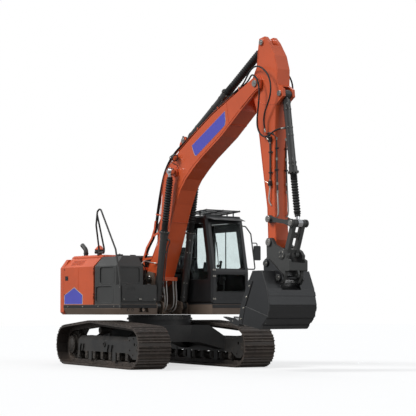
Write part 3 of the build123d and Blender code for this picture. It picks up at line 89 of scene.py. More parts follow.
# ---------------------------------------------------------------- settings a user may change
class ExcavatorPaint(bpy.types.PropertyGroup):
    """Colours of the painted and rubber pieces"""

    body: bpy.props.FloatVectorProperty(
        name="Body paint", description="Orange of the boom, the arm and the side panels",
        subtype="COLOR", size=3, min=0, max=1, default=(0.70, 0.105, 0.026))
    frame: bpy.props.FloatVectorProperty(
        name="Frame paint", description="Black of the cab and the undercarriage",
        subtype="COLOR", size=3, min=0, max=1, default=(0.022, 0.022, 0.022))
    panel: bpy.props.FloatVectorProperty(
        name="Panel paint", description="Dark grey of the tank, the tool box and the cylinders",
        subtype="COLOR", size=3, min=0, max=1, default=(0.052, 0.052, 0.050))
    tracks: bpy.props.FloatVectorProperty(
        name="Track steel", description="Brown black of the tracks",
        subtype="COLOR", size=3, min=0, max=1, default=(0.040, 0.031, 0.026))
    decal: bpy.props.FloatVectorProperty(
        name="Decal", description="Blue of the blank decals",
        subtype="COLOR", size=3, min=0, max=1, default=(0.088, 0.088, 0.55))


class ExcavatorFittings(bpy.types.PropertyGroup):
    """Sizes of the small fittings"""

    bolt: bpy.props.FloatProperty(
        name="Bolt head", description="Radius of an ordinary bolt head",
        subtype="DISTANCE", unit="LENGTH", default=0.013, min=0.004, max=0.04)
    pipe: bpy.props.FloatProperty(
        name="Pipe", description="Radius of the oil pipes on the boom and the arm",
        subtype="DISTANCE", unit="LENGTH", default=0.014, min=0.005, max=0.03)
    weld: bpy.props.FloatProperty(
        name="Weld bead", description="Radius of the weld beads",
        subtype="DISTANCE", unit="LENGTH", default=0.005, min=0.001, max=0.02)
    pleat: bpy.props.FloatProperty(
        name="Bellows pleat", description="Length of one pleat of the rod bellows",
        subtype="DISTANCE", unit="LENGTH", default=0.046, min=0.01, max=0.1)


# ---------------------------------------------------------------- mesh helpers
def place_box(mesh, low, high, turn=None):
    """A box between two corners; turn is applied about the box's middle."""
    low, high = Vector(low), Vector(high)
    size = Matrix.Diagonal((*(high - low), 1))
    turn = turn.to_4x4() if turn else Matrix.Identity(4)
    bmesh.ops.create_cube(mesh, size=1, matrix=Matrix.Translation((low + high) / 2) @ turn @ size)


def facing(place, direction):
    """Turns local +Z to the direction, at the place."""
    return Matrix.Translation(place) @ Vector(direction).to_track_quat("Z", "Y").to_matrix().to_4x4()


def place_bar(mesh, start, end, radius, segments=16, end_radius=None):
    """A closed cylinder or cone between two points."""
    start, end = Vector(start), Vector(end)
    bmesh.ops.create_cone(
        mesh, cap_ends=True, cap_tris=False, segments=segments, radius1=radius,
        radius2=radius if end_radius is None else end_radius, depth=(end - start).length,
        matrix=facing((start + end) / 2, end - start))


def place_bolt(mesh, place, direction, radius, height=None):
    """A hexagon head on its washer."""
    place, direction = Vector(place), Vector(direction).normalized()
    height = height or radius * 0.8
    place_bar(mesh, place, place + direction * height * 0.25, radius * 1.35, 12)
    place_bar(mesh, place + direction * height * 0.2, place + direction * height * 1.2, radius, 6,
              radius * 0.9)


def place_spin(mesh, profile, place, direction, steps=32):
    """A solid of revolution: (distance along the axis, radius) points turned about the axis."""
    verts = [mesh.verts.new((radius, 0, along)) for along, radius in profile]
    edges = [mesh.edges.new(pair) for pair in zip(verts, verts[1:])]
    bmesh.ops.spin(mesh, geom=verts + edges, axis=(0, 0, 1), cent=(0, 0, 0), angle=math.tau, steps=steps,
                   use_merge=True)
    found = {v for v in verts if v.is_valid}
    fresh = list(found)
    while fresh:
        fresh = [e.other_vert(v) for v in fresh for e in v.link_edges if e.other_vert(v) not in found]
        found.update(fresh)
    bmesh.ops.transform(mesh, matrix=facing(place, direction), verts=list(found))


def place_slab(mesh, points, thickness):
    """A flat plate from an outline, thickened along its own normal both ways from the outline."""
    verts = [mesh.verts.new(p) for p in points]
    face = mesh.faces.new(verts)
    face.normal_update()
    normal = face.normal.copy()
    for v in verts:
        v.co -= normal * thickness / 2
    raised = bmesh.ops.extrude_face_region(mesh, geom=[face])["geom"]
    bmesh.ops.translate(mesh, vec=normal * thickness,
                        verts=[g for g in raised if isinstance(g, bmesh.types.BMVert)])


def around(count, radius, start=0.0):
    """Evenly spaced points on a circle; start is a share of one step."""
    return [(radius * math.cos(a), radius * math.sin(a))
            for a in (math.tau * (k + start) / count for k in range(count))]


def on_wall(points, y):
    """A route of (x, z) points laid in the plane at y."""
    return [(x, y, z) for x, z in points]


def mirrored(route):
    return [(x, -y, z) for x, y, z in route]


def closed(route):
    return list(route) + [route[0]]


def new_object(name, data):
    made = bpy.data.objects.new(name, data)
    bpy.context.scene.collection.objects.link(made)
    return made


def finish_piece(mesh, name, body, finish, smooth=35, round_edges=0.0, turn=None, stands_for=()):
    """The mesh as a named piece that rides on a body and has its finish."""
    if turn is not None:
        bmesh.ops.transform(mesh, matrix=turn, verts=mesh.verts)
    bmesh.ops.recalc_face_normals(mesh, faces=mesh.faces)
    data = bpy.data.meshes.new(name)
    mesh.to_mesh(data)
    mesh.free()
    data.shade_smooth()
    data.set_sharp_from_angle(angle=math.radians(smooth))
    piece = new_object(name, data)
    data.materials.append(FINISH[finish])
    if round_edges:
        bevel = piece.modifiers.new("Rounded edges", "BEVEL")
        bevel.width = round_edges
        bevel.segments = 2
        bevel.limit_method = "ANGLE"
    if stands_for:
        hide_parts(*stands_for)
    if body:
        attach(piece, body)
    return piece


def spline_curve(name, routes, order, resolution):
    """A curve with one NURBS spline for each route, which holds the spline's control points."""
    curve = bpy.data.curves.new(name, "CURVE")
    curve.dimensions = "3D"
    curve.resolution_u = resolution
    for route in routes:
        spline = curve.splines.new("NURBS")
        spline.points.add(len(route) - 1)
        for point, place in zip(spline.points, route):
            point.co = (*place, 1)
        spline.order_u = order
        spline.use_endpoint_u = True
    return curve


def place_pipes(name, routes, radius, body, finish, order=3):
    """Bent pipes, or straight beads with order 2, as one piece that rides on a body."""
    curve = spline_curve(name, routes, order, 6)
    curve.bevel_depth = radius
    curve.bevel_resolution = 3
    curve.use_fill_caps = True
    piece = new_object(name, curve)
    curve.materials.append(FINISH[finish])
    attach(piece, body)


# ---------------------------------------------------------------- shader groups
def link(tree, source, target):
    tree.links.new(source, target)


def new_node(tree, kind, **values):
    """A shader node with its properties, and its unlinked inputs, set by name."""
    node = tree.nodes.new(kind)
    for key, value in values.items():
        if hasattr(node, key) and key not in node.inputs:
            setattr(node, key, value)
        else:
            node.inputs[key].default_value = value
    return node


def new_group(name, inputs, outputs):
    tree = bpy.data.node_groups.new(name, "ShaderNodeTree")
    for label, kind, value in inputs:
        socket = tree.interface.new_socket(label, in_out="INPUT", socket_type=kind)
        socket.default_value = value
    for label, kind in outputs:
        tree.interface.new_socket(label, in_out="OUTPUT", socket_type=kind)
    return tree, tree.nodes.new("NodeGroupInput"), tree.nodes.new("NodeGroupOutput")


def spread(tree, value, low, high):
    """Maps the value from low..high to 0..1, clamped."""
    node = new_node(tree, "ShaderNodeMapRange", clamp=True)
    node.inputs["From Min"].default_value = low
    node.inputs["From Max"].default_value = high
    link(tree, value, node.inputs["Value"])
    return node.outputs["Result"]


def scale_to(tree, value, low, high):
    """Maps a value from 0..1 to low..high."""
    node = tree.nodes.new("ShaderNodeMapRange")
    link(tree, value, node.inputs["Value"])
    node.inputs["To Min"].default_value = low
    node.inputs["To Max"].default_value = high
    return node.outputs["Result"]


def new_material(name):
    material = bpy.data.materials.new(name)
    material.use_nodes = True
    return material, material.node_tree


def math_node(tree, operation, first, second):
    node = tree.nodes.new("ShaderNodeMath")
    node.operation = operation
    for socket, value in zip(node.inputs, (first, second)):
        if isinstance(value, (int, float)):
            socket.default_value = value
        else:
            link(tree, value, socket)
    return node.outputs[0]


def mix_colour(tree, share, first, second, blend="MIX"):
    node = tree.nodes.new("ShaderNodeMix")
    node.data_type = "RGBA"
    node.blend_type = blend
    sockets = [s for s in node.inputs if s.type == "RGBA"]
    for socket, value in ((node.inputs["Factor"], share), (sockets[0], first), (sockets[1], second)):
        if isinstance(value, (int, float)):
            socket.default_value = value
        elif isinstance(value, (tuple, list)) or type(value).__name__ in ("Color", "bpy_prop_array"):
            socket.default_value = (*value[:3], 1)
        else:
            link(tree, value, socket)
    return next(s for s in node.outputs if s.type == "RGBA")


def noise(tree, vector, scale, detail=4.0, roughness=0.55):
    node = new_node(tree, "ShaderNodeTexNoise", Scale=scale, Detail=detail, Roughness=roughness)
    link(tree, vector, node.inputs["Vector"])
    return node.outputs["Fac"]


def make_wear_group():
    """Mask of rubbed edges: where a widely rounded normal leaves the true one, broken up by noise."""
    tree, source, result = new_group(
        "Edge wear", [("Width", "NodeSocketFloat", 0.01), ("Amount", "NodeSocketFloat", 0.5)],
        [("Mask", "NodeSocketFloat")])
    rounded = new_node(tree, "ShaderNodeBevel", samples=4)
    link(tree, source.outputs["Width"], rounded.inputs["Radius"])
    true = tree.nodes.new("ShaderNodeNewGeometry")
    dot = new_node(tree, "ShaderNodeVectorMath", operation="DOT_PRODUCT")
    link(tree, rounded.outputs["Normal"], dot.inputs[0])
    link(tree, true.outputs["Normal"], dot.inputs[1])
    edge = spread(tree, dot.outputs["Value"], 0.985, 0.86)
    place = tree.nodes.new("ShaderNodeTexCoord")
    broken = spread(tree, noise(tree, place.outputs["Object"], 14, 6, 0.7), 0.42, 0.62)
    both = math_node(tree, "MULTIPLY", edge, broken)
    link(tree, math_node(tree, "MULTIPLY", both, source.outputs["Amount"]), result.inputs["Mask"])
    return tree


def make_dust_group():
    """Mask of dust: more on faces that look up, more near the ground, in soft patches."""
    tree, source, result = new_group(
        "Settled dust", [("Ground height", "NodeSocketFloat", 0.9), ("Amount", "NodeSocketFloat", 0.4)],
        [("Mask", "NodeSocketFloat")])
    shape = tree.nodes.new("ShaderNodeNewGeometry")
    normal = tree.nodes.new("ShaderNodeSeparateXYZ")
    link(tree, shape.outputs["Normal"], normal.inputs[0])
    place = tree.nodes.new("ShaderNodeTexCoord")
    height = tree.nodes.new("ShaderNodeSeparateXYZ")
    link(tree, place.outputs["Object"], height.inputs[0])
    top = math_node(tree, "MULTIPLY", spread(tree, normal.outputs["Z"], 0.2, 1.0), 0.6)
    low = tree.nodes.new("ShaderNodeMapRange")
    link(tree, height.outputs["Z"], low.inputs["Value"])
    link(tree, source.outputs["Ground height"], low.inputs["From Min"])
    low.inputs["From Max"].default_value = 0.0
    sum_mask = math_node(tree, "ADD", top, low.outputs["Result"])
    patches = spread(tree, noise(tree, place.outputs["Object"], 3.5, 8, 0.65), 0.35, 0.75)
    both = math_node(tree, "MULTIPLY", sum_mask, patches)
    link(tree, math_node(tree, "MULTIPLY", both, source.outputs["Amount"]), result.inputs["Mask"])
    return tree


def make_mottle_group():
    """Slow changes of shade and fine surface grain."""
    tree, source, result = new_group(
        "Mottle and grain",
        [("Shade scale", "NodeSocketFloat", 2.0), ("Grain scale", "NodeSocketFloat", 90.0)],
        [("Shade", "NodeSocketFloat"), ("Grain", "NodeSocketFloat")])
    place = tree.nodes.new("ShaderNodeTexCoord")
    for label, output in (("Shade scale", "Shade"), ("Grain scale", "Grain")):
        node = new_node(tree, "ShaderNodeTexNoise", Detail=5.0, Roughness=0.6)
        link(tree, place.outputs["Object"], node.inputs["Vector"])
        link(tree, source.outputs[label], node.inputs["Scale"])
        link(tree, node.outputs["Fac"], result.inputs[output])
    return tree


GROUPS = {}


def use_group(tree, name, **inputs):
    makers = {"Edge wear": make_wear_group, "Settled dust": make_dust_group,
              "Mottle and grain": make_mottle_group}
    if name not in GROUPS:
        GROUPS[name] = makers[name]()
    node = tree.nodes.new("ShaderNodeGroup")
    node.node_tree = GROUPS[name]
    for label, value in inputs.items():
        node.inputs[label.replace("_", " ")].default_value = value
    return node.outputs


# ---------------------------------------------------------------- finishes
def coated(name, colour, roughness, worn, worn_metal=0.0, wear=0.35, wear_width=0.006, dust=0.25,
           dust_colour=(0.20, 0.16, 0.12), coat=0.0, shade=0.12, grain=0.02, grain_scale=90.0,
           dust_height=0.9):
    """Paint, cast steel or rubber: mottled colour, rubbed edges, settled dust and a fine grain."""
    material, tree = new_material(name)
    shader = tree.nodes["Principled BSDF"]
    mottle = use_group(tree, "Mottle and grain", Shade_scale=1.7, Grain_scale=grain_scale)
    darker = tuple(c * (1 - shade) for c in colour)
    lighter = tuple(min(1.0, c * (1 + shade)) for c in colour)
    base = mix_colour(tree, spread(tree, mottle["Shade"], 0.35, 0.65), darker, lighter)
    rubbed = use_group(tree, "Edge wear", Width=wear_width, Amount=wear)["Mask"]
    base = mix_colour(tree, rubbed, base, worn)
    dusty = use_group(tree, "Settled dust", Amount=dust, Ground_height=dust_height)["Mask"]
    base = mix_colour(tree, dusty, base, dust_colour)
    link(tree, base, shader.inputs["Base Color"])
    rough = scale_to(tree, mottle["Grain"], max(0.05, roughness - 0.07), min(1.0, roughness + 0.10))
    link(tree, math_node(tree, "ADD", rough, math_node(tree, "MULTIPLY", dusty, 0.3)),
         shader.inputs["Roughness"])
    if worn_metal:
        link(tree, math_node(tree, "MULTIPLY", rubbed, worn_metal), shader.inputs["Metallic"])
    shader.inputs["Coat Weight"].default_value = coat
    shader.inputs["Coat Roughness"].default_value = 0.12
    bump = new_node(tree, "ShaderNodeBump", Strength=0.25, Distance=grain * 0.05)
    link(tree, mottle["Grain"], bump.inputs["Height"])
    link(tree, bump.outputs["Normal"], shader.inputs["Normal"])
    return material


def bare_metal(name, colour, roughness):
    """Machined or plated metal with fine streaks."""
    material, tree = new_material(name)
    shader = tree.nodes["Principled BSDF"]
    place = tree.nodes.new("ShaderNodeTexCoord")
    stretch = new_node(tree, "ShaderNodeMapping", Scale=(60, 60, 4))
    link(tree, place.outputs["Object"], stretch.inputs["Vector"])
    lines = noise(tree, stretch.outputs["Vector"], 3.0, 3)
    base = mix_colour(tree, lines, tuple(c * 0.82 for c in colour), colour)
    link(tree, base, shader.inputs["Base Color"])
    link(tree, scale_to(tree, lines, roughness * 0.7, roughness * 1.4), shader.inputs["Roughness"])
    shader.inputs["Metallic"].default_value = 1.0
    return material


def clear_glass(name, colour):
    """Thin tinted glass with a faint film of dust."""
    material, tree = new_material(name)
    shader = tree.nodes["Principled BSDF"]
    shader.inputs["Transmission Weight"].default_value = 1.0
    shader.inputs["Metallic"].default_value = 0.0
    shader.inputs["IOR"].default_value = 1.05
    place = tree.nodes.new("ShaderNodeTexCoord")
    film = spread(tree, noise(tree, place.outputs["Object"], 5, 6), 0.45, 0.8)
    link(tree, mix_colour(tree, film, colour, tuple(c * 0.93 for c in colour)), shader.inputs["Base Color"])
    link(tree, scale_to(tree, film, 0.0, 0.06), shader.inputs["Roughness"])
    return material


FINISH = {}


def make_finishes(paint):
    """Every finish of the machine, by name."""
    rub = (0.32, 0.27, 0.23)
    FINISH.update(
        orange=coated("Orange paint", tuple(paint.body), 0.42, (0.78, 0.30, 0.16), wear=0.35, coat=0.25,
                      shade=0.07, dust=0.10, grain=0.01),
        black=coated("Black frame paint", tuple(paint.frame), 0.45, (0.14, 0.13, 0.12), wear=0.6, dust=0.20,
                     shade=0.2),
        cab=coated("Black cab paint", (0.014, 0.014, 0.015), 0.35, (0.09, 0.09, 0.09), wear=0.45, dust=0.07,
                   coat=0.2, shade=0.15),
        grey=coated("Dark grey paint", tuple(paint.panel), 0.50, (0.24, 0.23, 0.22), wear=0.55, dust=0.14,
                    shade=0.1),
        # hood: the engine hood's grey paint; on the bucket's weld beads it is a painted highlight, lighter
        # than the bucket
        hood=coated("Grey hood paint", (0.075, 0.075, 0.073), 0.50, (0.30, 0.29, 0.28), wear=0.4, dust=0.14),
        # skirt: dark grey paint whose brown tint is a painted reflection of brown ground
        skirt=coated("Brown skirt paint", (0.16, 0.115, 0.085), 0.60, rub, wear=0.4, dust=0.3),
        tracks=coated("Track steel", tuple(paint.tracks), 0.55, rub, worn_metal=0.7, wear=0.9,
                      wear_width=0.01, dust=0.35, shade=0.35, grain=0.06, dust_colour=(0.13, 0.09, 0.065)),
        rollers=coated("Roller steel", (0.03, 0.026, 0.023), 0.5, rub, worn_metal=0.8, wear=0.8, dust=0.3,
                       shade=0.3, grain=0.05),
        bucket=coated("Bucket paint", (0.012, 0.012, 0.013), 0.30, (0.12, 0.115, 0.11), wear=0.7, dust=0.05,
                      coat=0.5, shade=0.25, grain=0.03, dust_height=0.3),
        rubber=coated("Black rubber", (0.012, 0.012, 0.012), 0.62, (0.05, 0.05, 0.05), wear=0.3, dust=0.12,
                      shade=0.2, grain=0.05, dust_height=0.4),
        plastic=coated("Grained plastic", (0.018, 0.018, 0.019), 0.55, (0.07, 0.07, 0.07), wear=0.2,
                       dust=0.08, grain=0.08, grain_scale=400),
        cloth=coated("Seat cloth", (0.030, 0.031, 0.034), 0.85, (0.06, 0.06, 0.06), wear=0.1, dust=0.05,
                     grain=0.25, grain_scale=700),
        barrel=coated("Cylinder paint", (0.045, 0.044, 0.042), 0.38, (0.20, 0.19, 0.18), wear=0.4, coat=0.25,
                      dust=0.12),
        decal=coated("Decal film", tuple(paint.decal), 0.35, (0.5, 0.5, 0.7), wear=0.25, coat=0.3, dust=0.05,
                     shade=0.05, grain=0.003),
        # pale: the decals' real pale borders, and on the black hoses a painted highlight
        pale=coated("Pale border paint and painted hose highlight", (0.50, 0.48, 0.45), 0.55, (0.7, 0.7, 0.7), wear=0.1, dust=0.15,
                    shade=0.15),
        pin=bare_metal("Machined steel", (0.42, 0.40, 0.38), 0.32),
        chrome=bare_metal("Plated rod", (0.75, 0.75, 0.76), 0.10),
        plated=bare_metal("Zinc fittings", (0.46, 0.44, 0.40), 0.35),
        glass=clear_glass("Cab glass", (0.80, 0.86, 0.86)),
        lens=clear_glass("Lamp lens", (0.93, 0.93, 0.93)),
    )


NODE_FINISH = {
    "orange": ("counterweight", "right_side_door", "left_side_door", "boom", "arm", "pump_room_cover",
               "hose_brackets"),
    "black": ("track_frames", "carbody", "swing_bearing", "engine_block", "bulkhead"),
    "cab": ("cab_shell", "cab_door", "roof_guard", "mirror"),
    # the deck frame's brown is a painted reflection of the ground on its dark paint
    "skirt": ("deck_frame",),
    "grey": ("hydraulic_tank", "tool_box", "tool_box_lid", "handrail", "exhaust_pipe", "rocker_links",
             "bucket_link", "quick_coupler"),
    "hood": ("engine_hood",),
    "tracks": ("track_left", "track_right"),
    "rollers": ("idlers", "sprockets", "track_rollers"),
    "barrel": ("boom_cylinder", "arm_cylinder", "bucket_cylinder"),
    "pin": ("house_pins", "boom_pins", "arm_pins"),
    "chrome": ("boom_rod", "arm_rod", "bucket_rod"),
    "rubber": ("boom_bellows", "arm_bellows", "bucket_bellows", "boom_hoses", "arm_hose_outer",
               "arm_hose_inner", "arm_hose_left"),
    # the foot and lift hoses are black; their pale grey is a painted highlight
    "pale": ("foot_hose_1", "foot_hose_2", "foot_hose_3", "foot_hose_4", "lift_hose"),
    "plastic": ("control_consoles", "pre_cleaner", "boom_lamps"),
    "cloth": ("operator_seat",),
    "bucket": ("bucket", "bucket_teeth"),
    "glass": ("cab_glass", "door_glass"),
}


class EXCAVATOR_OT_finishes(bpy.types.Operator):
    """Make every finish and paint the machine's own solids"""

    bl_idname = "excavator.finishes"
    bl_label = "Finishes"

    def execute(self, context):
        make_finishes(context.scene.excavator_paint)
        for finish, names in NODE_FINISH.items():
            for name in names:
                data = NODES[name].data
                data.materials.clear()
                data.materials.append(FINISH[finish])
        missing = [n for n in NODES if not any(n in names for names in NODE_FINISH.values())]
        if missing:
            raise RuntimeError(f"no finish for {missing}")
        return {"FINISHED"}


# ---------------------------------------------------------------- stage
CAMERA_AT = Vector((20.452, -15.267, 0.996))
CAMERA_TURN = (52.33, -4.13, -0.07)        # azimuth, elevation, roll in degrees
CAMERA_LENS = 119.76
CAMERA_SHIFT = (0.0625, 0.007)
MIRROR_SHARE = 0.12        # how much of the bright backdrop shows up in mirror reflections


class EXCAVATOR_OT_stage(bpy.types.Operator):
    """Pale floor, soft light and the camera"""

    bl_idname = "excavator.stage"
    bl_label = "Stage"

    def execute(self, context):
        scene = context.scene
        scene.view_settings.view_transform = "Standard"
        data = bpy.data.cameras.new("Camera")
        data.lens, data.sensor_width, data.sensor_fit = CAMERA_LENS, 36, "HORIZONTAL"
        data.shift_x, data.shift_y = CAMERA_SHIFT
        data.clip_end = 400
        camera = new_object("Camera", data)
        azimuth, elevation, roll = (math.radians(a) for a in CAMERA_TURN)
        turn = (Matrix.Rotation(azimuth, 4, "Z") @ Matrix.Rotation(math.pi / 2 - elevation, 4, "X")
                @ Matrix.Rotation(roll, 4, "Z"))
        camera.matrix_world = Matrix.Translation(CAMERA_AT) @ turn
        scene.camera = camera
        self.light(scene)
        self.floor()
        return {"FINISHED"}

    def light(self, scene):
        """Key from the machine's right and above, fill from the front left, soft sky."""
        for name, toward, strength, angle in (
            ("Key light", (0.35, 0.80, -0.75), 2.1, 22), ("Fill light", (-0.9, -0.25, -0.45), 0.75, 45),
            ("Back light", (0.7, -0.5, -0.9), 0.6, 40),
        ):
            data = bpy.data.lights.new(name, "SUN")
            data.energy, data.angle = strength, math.radians(angle)
            lamp = new_object(name, data)
            lamp.matrix_world = Vector(toward).to_track_quat("-Z", "Y").to_matrix().to_4x4()
        world = bpy.data.worlds.new("Soft sky")
        scene.world = world
        world.use_nodes = True
        tree = world.node_tree
        back = tree.nodes["Background"]
        seen = tree.nodes.new("ShaderNodeBackground")
        seen.inputs["Color"].default_value = (1, 1, 1, 1)
        back.inputs["Color"].default_value = (0.90, 0.95, 1.0, 1)
        back.inputs["Strength"].default_value = 0.42
        self.show_to_eye(tree, back.outputs[0], seen.outputs[0], tree.nodes["World Output"].inputs["Surface"])

    def show_to_eye(self, tree, lit, seen, result):
        """Mixes in the seen shader for camera and transmission rays, and a little of it for mirror rays."""
        path = tree.nodes.new("ShaderNodeLightPath")
        dimmed = math_node(tree, "MULTIPLY", path.outputs["Is Glossy Ray"], MIRROR_SHARE)
        indirect = math_node(tree, "MAXIMUM", dimmed, path.outputs["Is Transmission Ray"])
        eye = math_node(tree, "MAXIMUM", path.outputs["Is Camera Ray"], indirect)
        mix = tree.nodes.new("ShaderNodeMixShader")
        link(tree, eye, mix.inputs["Fac"])
        link(tree, lit, mix.inputs[1])
        link(tree, seen, mix.inputs[2])
        link(tree, mix.outputs[0], result)

    def floor(self):
        mesh = bmesh.new()
        bmesh.ops.create_grid(mesh, x_segments=1, y_segments=1, size=60)
        data = bpy.data.meshes.new("Floor")
        mesh.to_mesh(data)
        mesh.free()
        floor = new_object("Floor", data)
        material, tree = new_material("Pale floor")
        tree.nodes.remove(tree.nodes["Principled BSDF"])
        matt = new_node(tree, "ShaderNodeBsdfDiffuse", Color=(0.15, 0.145, 0.14, 1))
        pale = new_node(tree, "ShaderNodeBsdfDiffuse", Color=(0.91, 0.91, 0.91, 1))
        glow = new_node(tree, "ShaderNodeEmission", Color=(1, 1, 1, 1), Strength=1.0)
        seen = new_node(tree, "ShaderNodeMixShader", Fac=0.35)
        link(tree, glow.outputs[0], seen.inputs[1])
        link(tree, pale.outputs[0], seen.inputs[2])
        self.show_to_eye(tree, matt.outputs[0], seen.outputs[0],
                         tree.nodes["Material Output"].inputs["Surface"])
        data.materials.append(material)


# ---------------------------------------------------------------- rod bellows
class Cylinder:
    """One kind of oil cylinder: its lines, barrel, the sleeve over the rod and the clamps on the barrel."""

    def __init__(self, name, body, lines, radius, barrel, reach, bare, sleeve, clamps):
        self.name, self.body, self.lines = name, body, lines
        self.radius, self.barrel, self.clamps = radius, barrel, clamps
        self.foot = joint_at(f"{name}_barrel_turn")
        self.slide = JOINTS[f"{name}_rod_slide"]
        self.axis = Vector(self.slide["axis"]).normalized()
        self.sleeve_length = reach - bare - barrel - SLEEVE_GAP
        self.outer, self.inner = sleeve


SLEEVE_GAP = 0.002
# name, body, y of its lines, barrel radius and length, pin to eye, bare end, sleeve, clamps
CYLINDERS = (
    Cylinder("boom", "boom_barrels", (-0.300, 0.300), 0.066, 1.352, 2.4447, 0.100, (0.066, 0.046),
             (0.42, 0.98)),
    Cylinder("arm", "arm_barrel", (0.0,), 0.072, 1.330, 2.6182, 0.200, (0.071, 0.050), (0.35, 0.90)),
    Cylinder("bucket", "bucket_barrel", (0.0,), 0.062, 1.340, 2.1781, 0.110, (0.060, 0.043),
             (0.25, 0.56, 0.69)),
)


def bellows_profile(length, outer, inner, pleat):
    """Cuff, folded pleats that bunch up towards the barrel, and a cuff at the eye."""
    bunch = min(0.16, length * 0.16)
    points = [(0.0, inner), (0.0, outer * 0.98), (0.028, outer * 0.98), (0.034, inner)]
    along = 0.034
    while along < length - 0.05:
        step = pleat * (0.45 if along < bunch else 1.0)
        step = min(step, length - 0.04 - along)
        points += [(along + step * 0.25, outer * 0.93), (along + step * 0.5, outer),
                   (along + step * 0.75, outer * 0.93), (along + step, inner)]
        along += step
    return points + [(along + 0.004, inner * 1.1), (length, inner * 1.1), (length, inner * 0.86)]


class EXCAVATOR_OT_bellows(bpy.types.Operator):
    """Pleated rubber bellows over the bare rods"""

    bl_idname = "excavator.bellows"
    bl_label = "Rod bellows"

    def execute(self, context):
        pleat = context.scene.excavator_fittings.pleat
        for cylinder in CYLINDERS:
            length, axis = cylinder.sleeve_length, cylinder.axis
            start = cylinder.foot + axis * (cylinder.barrel + SLEEVE_GAP)
            profile = bellows_profile(length, cylinder.outer, cylinder.inner, pleat)
            mesh = bmesh.new()
            for y in cylinder.lines:
                place_spin(mesh, profile, (start.x, y, start.z), axis, 28)
            piece = finish_piece(mesh, f"{cylinder.name}_bellows_folds", cylinder.body, "rubber", 60,
                                 stands_for=(f"{cylinder.name}_bellows",))
            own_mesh(piece)
        return {"FINISHED"}


# ---------------------------------------------------------------- hoses over the boom's foot and tip
OUTER_HOSE = (
    (2.510, -0.168, 4.795), (2.590, -0.168, 4.831), (2.690, -0.172, 4.935), (2.800, -0.192, 5.035),
    (2.925, -0.216, 5.088), (3.060, -0.236, 5.088), (3.195, -0.246, 5.035), (3.318, -0.248, 4.928),
    (3.390, -0.248, 4.795), (3.402, -0.244, 4.655), (3.368, -0.238, 4.520), (3.292, -0.230, 4.400),
    (3.212, -0.220, 4.285), (3.172, -0.206, 4.165), (3.176, -0.192, 4.060), (3.186, -0.184, 3.965),
)
INNER_HOSE = (
    (2.510, -0.134, 4.795), (2.610, -0.134, 4.840), (2.720, -0.146, 4.898), (2.838, -0.200, 4.948),
    (2.940, -0.244, 4.958), (3.040, -0.256, 4.900), (3.097, -0.254, 4.795), (3.120, -0.252, 4.660),
    (3.105, -0.250, 4.505), (3.074, -0.246, 4.345), (3.044, -0.240, 4.195), (3.038, -0.232, 4.060),
    (3.090, -0.224, 3.945), (3.190, -0.218, 3.878), (3.305, -0.218, 3.884), (3.395, -0.205, 3.940),
    (3.456, -0.141, 3.992), (3.520, -0.064, 4.005),
)
LEFT_HOSE = mirrored(OUTER_HOSE)
LIFT_HOSE = (
    (0.160, -0.562, 1.815), (0.125, -0.500, 1.855), (0.080, -0.425, 1.893), (0.038, -0.345, 1.908),
    (0.044, -0.270, 1.888), (0.112, -0.228, 1.866), (0.180, -0.205, 1.862),
)
FOOT_LINE = (              # x, z of the loops under the boom's foot
    (0.275, 1.535), (0.287, 1.420), (0.308, 1.300), (0.318, 1.180), (0.300, 1.072), (0.236, 1.003),
    (0.155, 0.985),
)
FOOT_LOOPS = (             # y at the boom, y at the deck, how much lower the loop hangs, real length
    (-0.130, -0.100, -0.030, 0.615), (-0.055, -0.070, 0.012, 0.649),
    (0.095, 0.085, -0.022, 0.621), (0.165, 0.135, 0.020, 0.656),
)
TIP_BEND = ((2.75, 0, 5.00), (3.35, 0, 4.40))
FOOT_BEND = ((0.24, 0, 1.05), (0.28, 0, 1.45))
LIFT_BEND = ((0.10, -0.50, 1.88), (0.10, -0.26, 1.88))
CRIMP = (                  # along the hose from its tip, share of the hose's radius
    (-0.006, 0), (-0.006, 1.45), (0.012, 1.45), (0.014, 1.25), (0.030, 1.3), (0.034, 1.15), (0.040, 1.3),
    (0.044, 1.15), (0.050, 1.3), (0.058, 1.2), (0.058, 0),
)


def foot_route(y_boom, y_deck, drop):
    last = len(FOOT_LINE) - 1
    return [(x, y_boom + (y_deck - y_boom) * k / last, z - drop * k / last)
            for k, (x, z) in enumerate(FOOT_LINE)]


def spline_line(route):
    """Points along the smooth spline that has the route as its control points."""
    guide = bpy.data.objects.new("Route", spline_curve("Route", [route], 3, 7))
    line = [vert.co.copy() for vert in bpy.data.meshes.new_from_object(guide).vertices]
    bpy.data.objects.remove(guide)
    return line


def place_tube(mesh, line, radius, sides=14, rings=()):
    """A closed tube along the line; rings are extra shares of its radius, point by point."""
    across = (line[1] - line[0]).orthogonal().normalized()
    rows = []
    for k, place in enumerate(line):
        along = (line[min(k + 1, len(line) - 1)] - line[max(k - 1, 0)]).normalized()
        across = (across - along * across.dot(along)).normalized()
        other = along.cross(across)
        size = radius * (rings[k] if rings else 1.0)
        rows.append([mesh.verts.new(place + (across * math.cos(a) + other * math.sin(a)) * size)
                     for a in (math.tau * i / sides for i in range(sides))])
    for first, second in zip(rows, rows[1:]):
        for i in range(sides):
            mesh.faces.new((first[i], first[i - 1], second[i - 1], second[i]))
    mesh.faces.new(rows[0])
    mesh.faces.new(reversed(rows[-1]))


